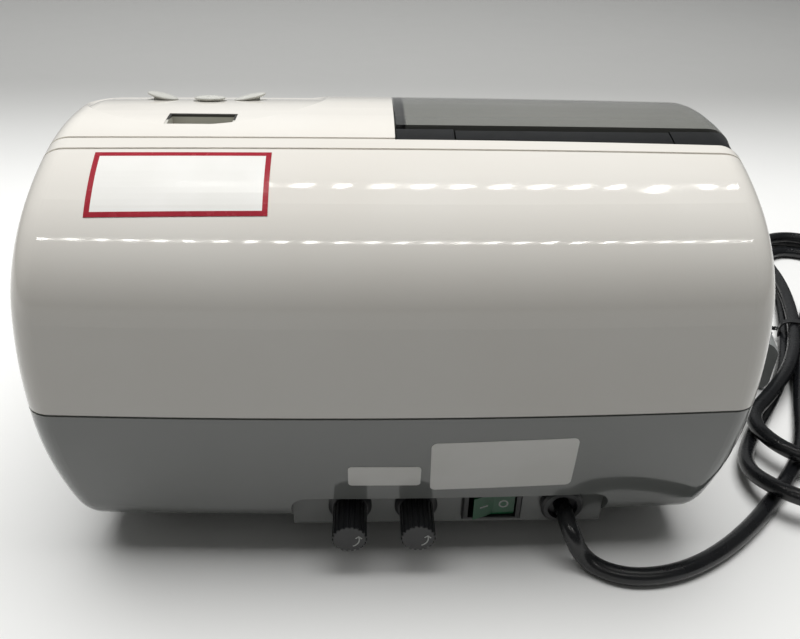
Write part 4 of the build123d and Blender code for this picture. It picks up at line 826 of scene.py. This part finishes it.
# %% The skirt
deck_skin, window_skin = skin_of("top_shell"), skin_of("display_window")
well_x, well_y, well_wide, well_deep, above_all = 63.2, 36.8, 22.0, 9.6, 160
offsets = ((1, -0.04), (1, -0.8), (1, 0.35), (-1, 0.35))
down_ray = Vector((0, 0, -1))
well_points, steps = [], 14
for start, end in (((-1, -1), (1, -1)), ((1, -1), (1, 1)), ((1, 1), (-1, 1)), ((-1, 1), (-1, -1))):
    for k in range(steps):
        u = start[0] + (end[0] - start[0]) * k / steps
        v = start[1] + (end[1] - start[1]) * k / steps
        edge, inner, shell, mirrored = [
            Vector((well_x + side * u * (well_wide / 2 + out), well_y + v * (well_deep / 2 + out), above_all))
            for side, out in offsets
        ]
        upper = min(dropped(deck_skin, spot, down_ray, 0.0).z for spot in (shell, mirrored)) - 0.12
        lower = dropped(window_skin, inner, down_ray, 0.0).z + 0.03
        around_wall = ((edge, upper), (inner, upper), (inner, lower), (edge, lower))
        well_points += [(p.x, p.y, z) for p, z in around_wall]
count = len(well_points) // 4
well_faces = [
    (4 * i + k, 4 * i + (k + 1) % 4, 4 * ((i + 1) % count) + (k + 1) % 4, 4 * ((i + 1) % count) + k)
    for i in range(count)
    for k in range(4)
]
band_low, band_high = 138.0, 138.15
toned_along(finishes["well_skirt"], panel_up, band_low * MM, band_high * MM, "#2B2A27")
new_piece("display_well", well_points, well_faces, finishes["well_skirt"], "machine", "display_filter")
print("well points", len(well_points))

# %% [markdown]
# ## The grip of the plug
# A moulded plug has raised bars on both flat sides so that it can be pulled. They repeat along its
# axis, so Geometry Nodes place them: a line of points gets one bar each, with the number, the
# spacing and the bar's size as inputs, and every bar then has its edges rounded.

# %% A tree for repeated bars
bars = bpy.data.node_groups.new("bars_along_a_line", "GeometryNodeTree")
sockets = {}
for label, kind in (
    ("Count", "NodeSocketInt"),
    ("First", "NodeSocketVector"),
    ("Step", "NodeSocketVector"),
    ("Bar Size", "NodeSocketVector"),
    ("Turn", "NodeSocketVector"),
    ("Finish", "NodeSocketMaterial"),
):
    sockets[label] = bars.interface.new_socket(label, in_out="INPUT", socket_type=kind).identifier
bars.interface.new_socket("Geometry", in_out="OUTPUT", socket_type="NodeSocketGeometry")
entry = add_node(bars, "NodeGroupInput")
given = entry.outputs
row_of_points = add_node(
    bars,
    "GeometryNodeMeshLine",
    {"Count": given["Count"], "Start Location": given["First"], "Offset": given["Step"]},
    mode="OFFSET",
)
one_bar = add_node(bars, "GeometryNodeMeshCube", {"Size": given["Bar Size"]})
placed = add_node(
    bars,
    "GeometryNodeInstanceOnPoints",
    {
        "Points": row_of_points.outputs["Mesh"],
        "Instance": one_bar.outputs["Mesh"],
        "Rotation": given["Turn"],
    },
)
real = add_node(bars, "GeometryNodeRealizeInstances", {"Geometry": placed.outputs["Instances"]})
dressed = add_node(
    bars, "GeometryNodeSetMaterial", {"Geometry": real.outputs["Geometry"], "Material": given["Finish"]}
)
add_node(bars, "NodeGroupOutput", {"Geometry": dressed.outputs["Geometry"]})
print("tree inputs", len(sockets))


# %% Bars on both sides of the plug
bar_edge = 0.45 * MM


def baked(name, values, body):
    """Run the tree on an empty mesh with these inputs, round its edges and keep a plain mesh."""
    holder = bpy.data.objects.new(name, bpy.data.meshes.new(name))
    bpy.context.scene.collection.objects.link(holder)
    maker = holder.modifiers.new("bars", "NODES")
    maker.node_group = bars
    for label, value in values.items():
        maker[sockets[label]] = value
    bpy.context.view_layer.update()
    scene_state = bpy.context.evaluated_depsgraph_get()
    ready = bpy.data.meshes.new_from_object(holder.evaluated_get(scene_state))
    bars_mesh = bmesh.new()
    bars_mesh.from_mesh(ready)
    bmesh.ops.bevel(
        bars_mesh, geom=bars_mesh.edges[:], offset=bar_edge, segments=3, profile=0.5, affect="EDGES"
    )
    bars_mesh.to_mesh(ready)
    bars_mesh.free()
    holder.modifiers.clear()
    holder.data = ready
    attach(holder, body)
    return holder


plug_face, plug_heading = Vector((-168, -12, 13)), radians(60)
plug_ahead = Vector((cos(plug_heading), sin(plug_heading), 0))
plug_side = Vector((-sin(plug_heading), cos(plug_heading), 0))
plug_skin = skin_of("plug_body")
grip_count, grip_front, grip_back, bar_size = 5, 8, 24, Vector((1.5, 1.2, 13))
for label, side in (("left", 1), ("right", -1)):
    inward = -plug_side * side
    front, back = [
        dropped(plug_skin, plug_face - plug_ahead * far - inward * 30, inward, 0.0)
        for far in (grip_front, grip_back)
    ]
    slope = (front - back).normalized()
    baked(
        "plug_grip_" + label,
        {
            "Count": grip_count,
            "First": front * MM,
            "Step": (back - front) / (grip_count - 1) * MM,
            "Bar Size": bar_size * MM,
            "Turn": (0, 0, atan2(slope.y, slope.x)),
            "Finish": finishes["plug_grey"],
        },
        "machine",
    )
print("grip bars", 2 * grip_count)
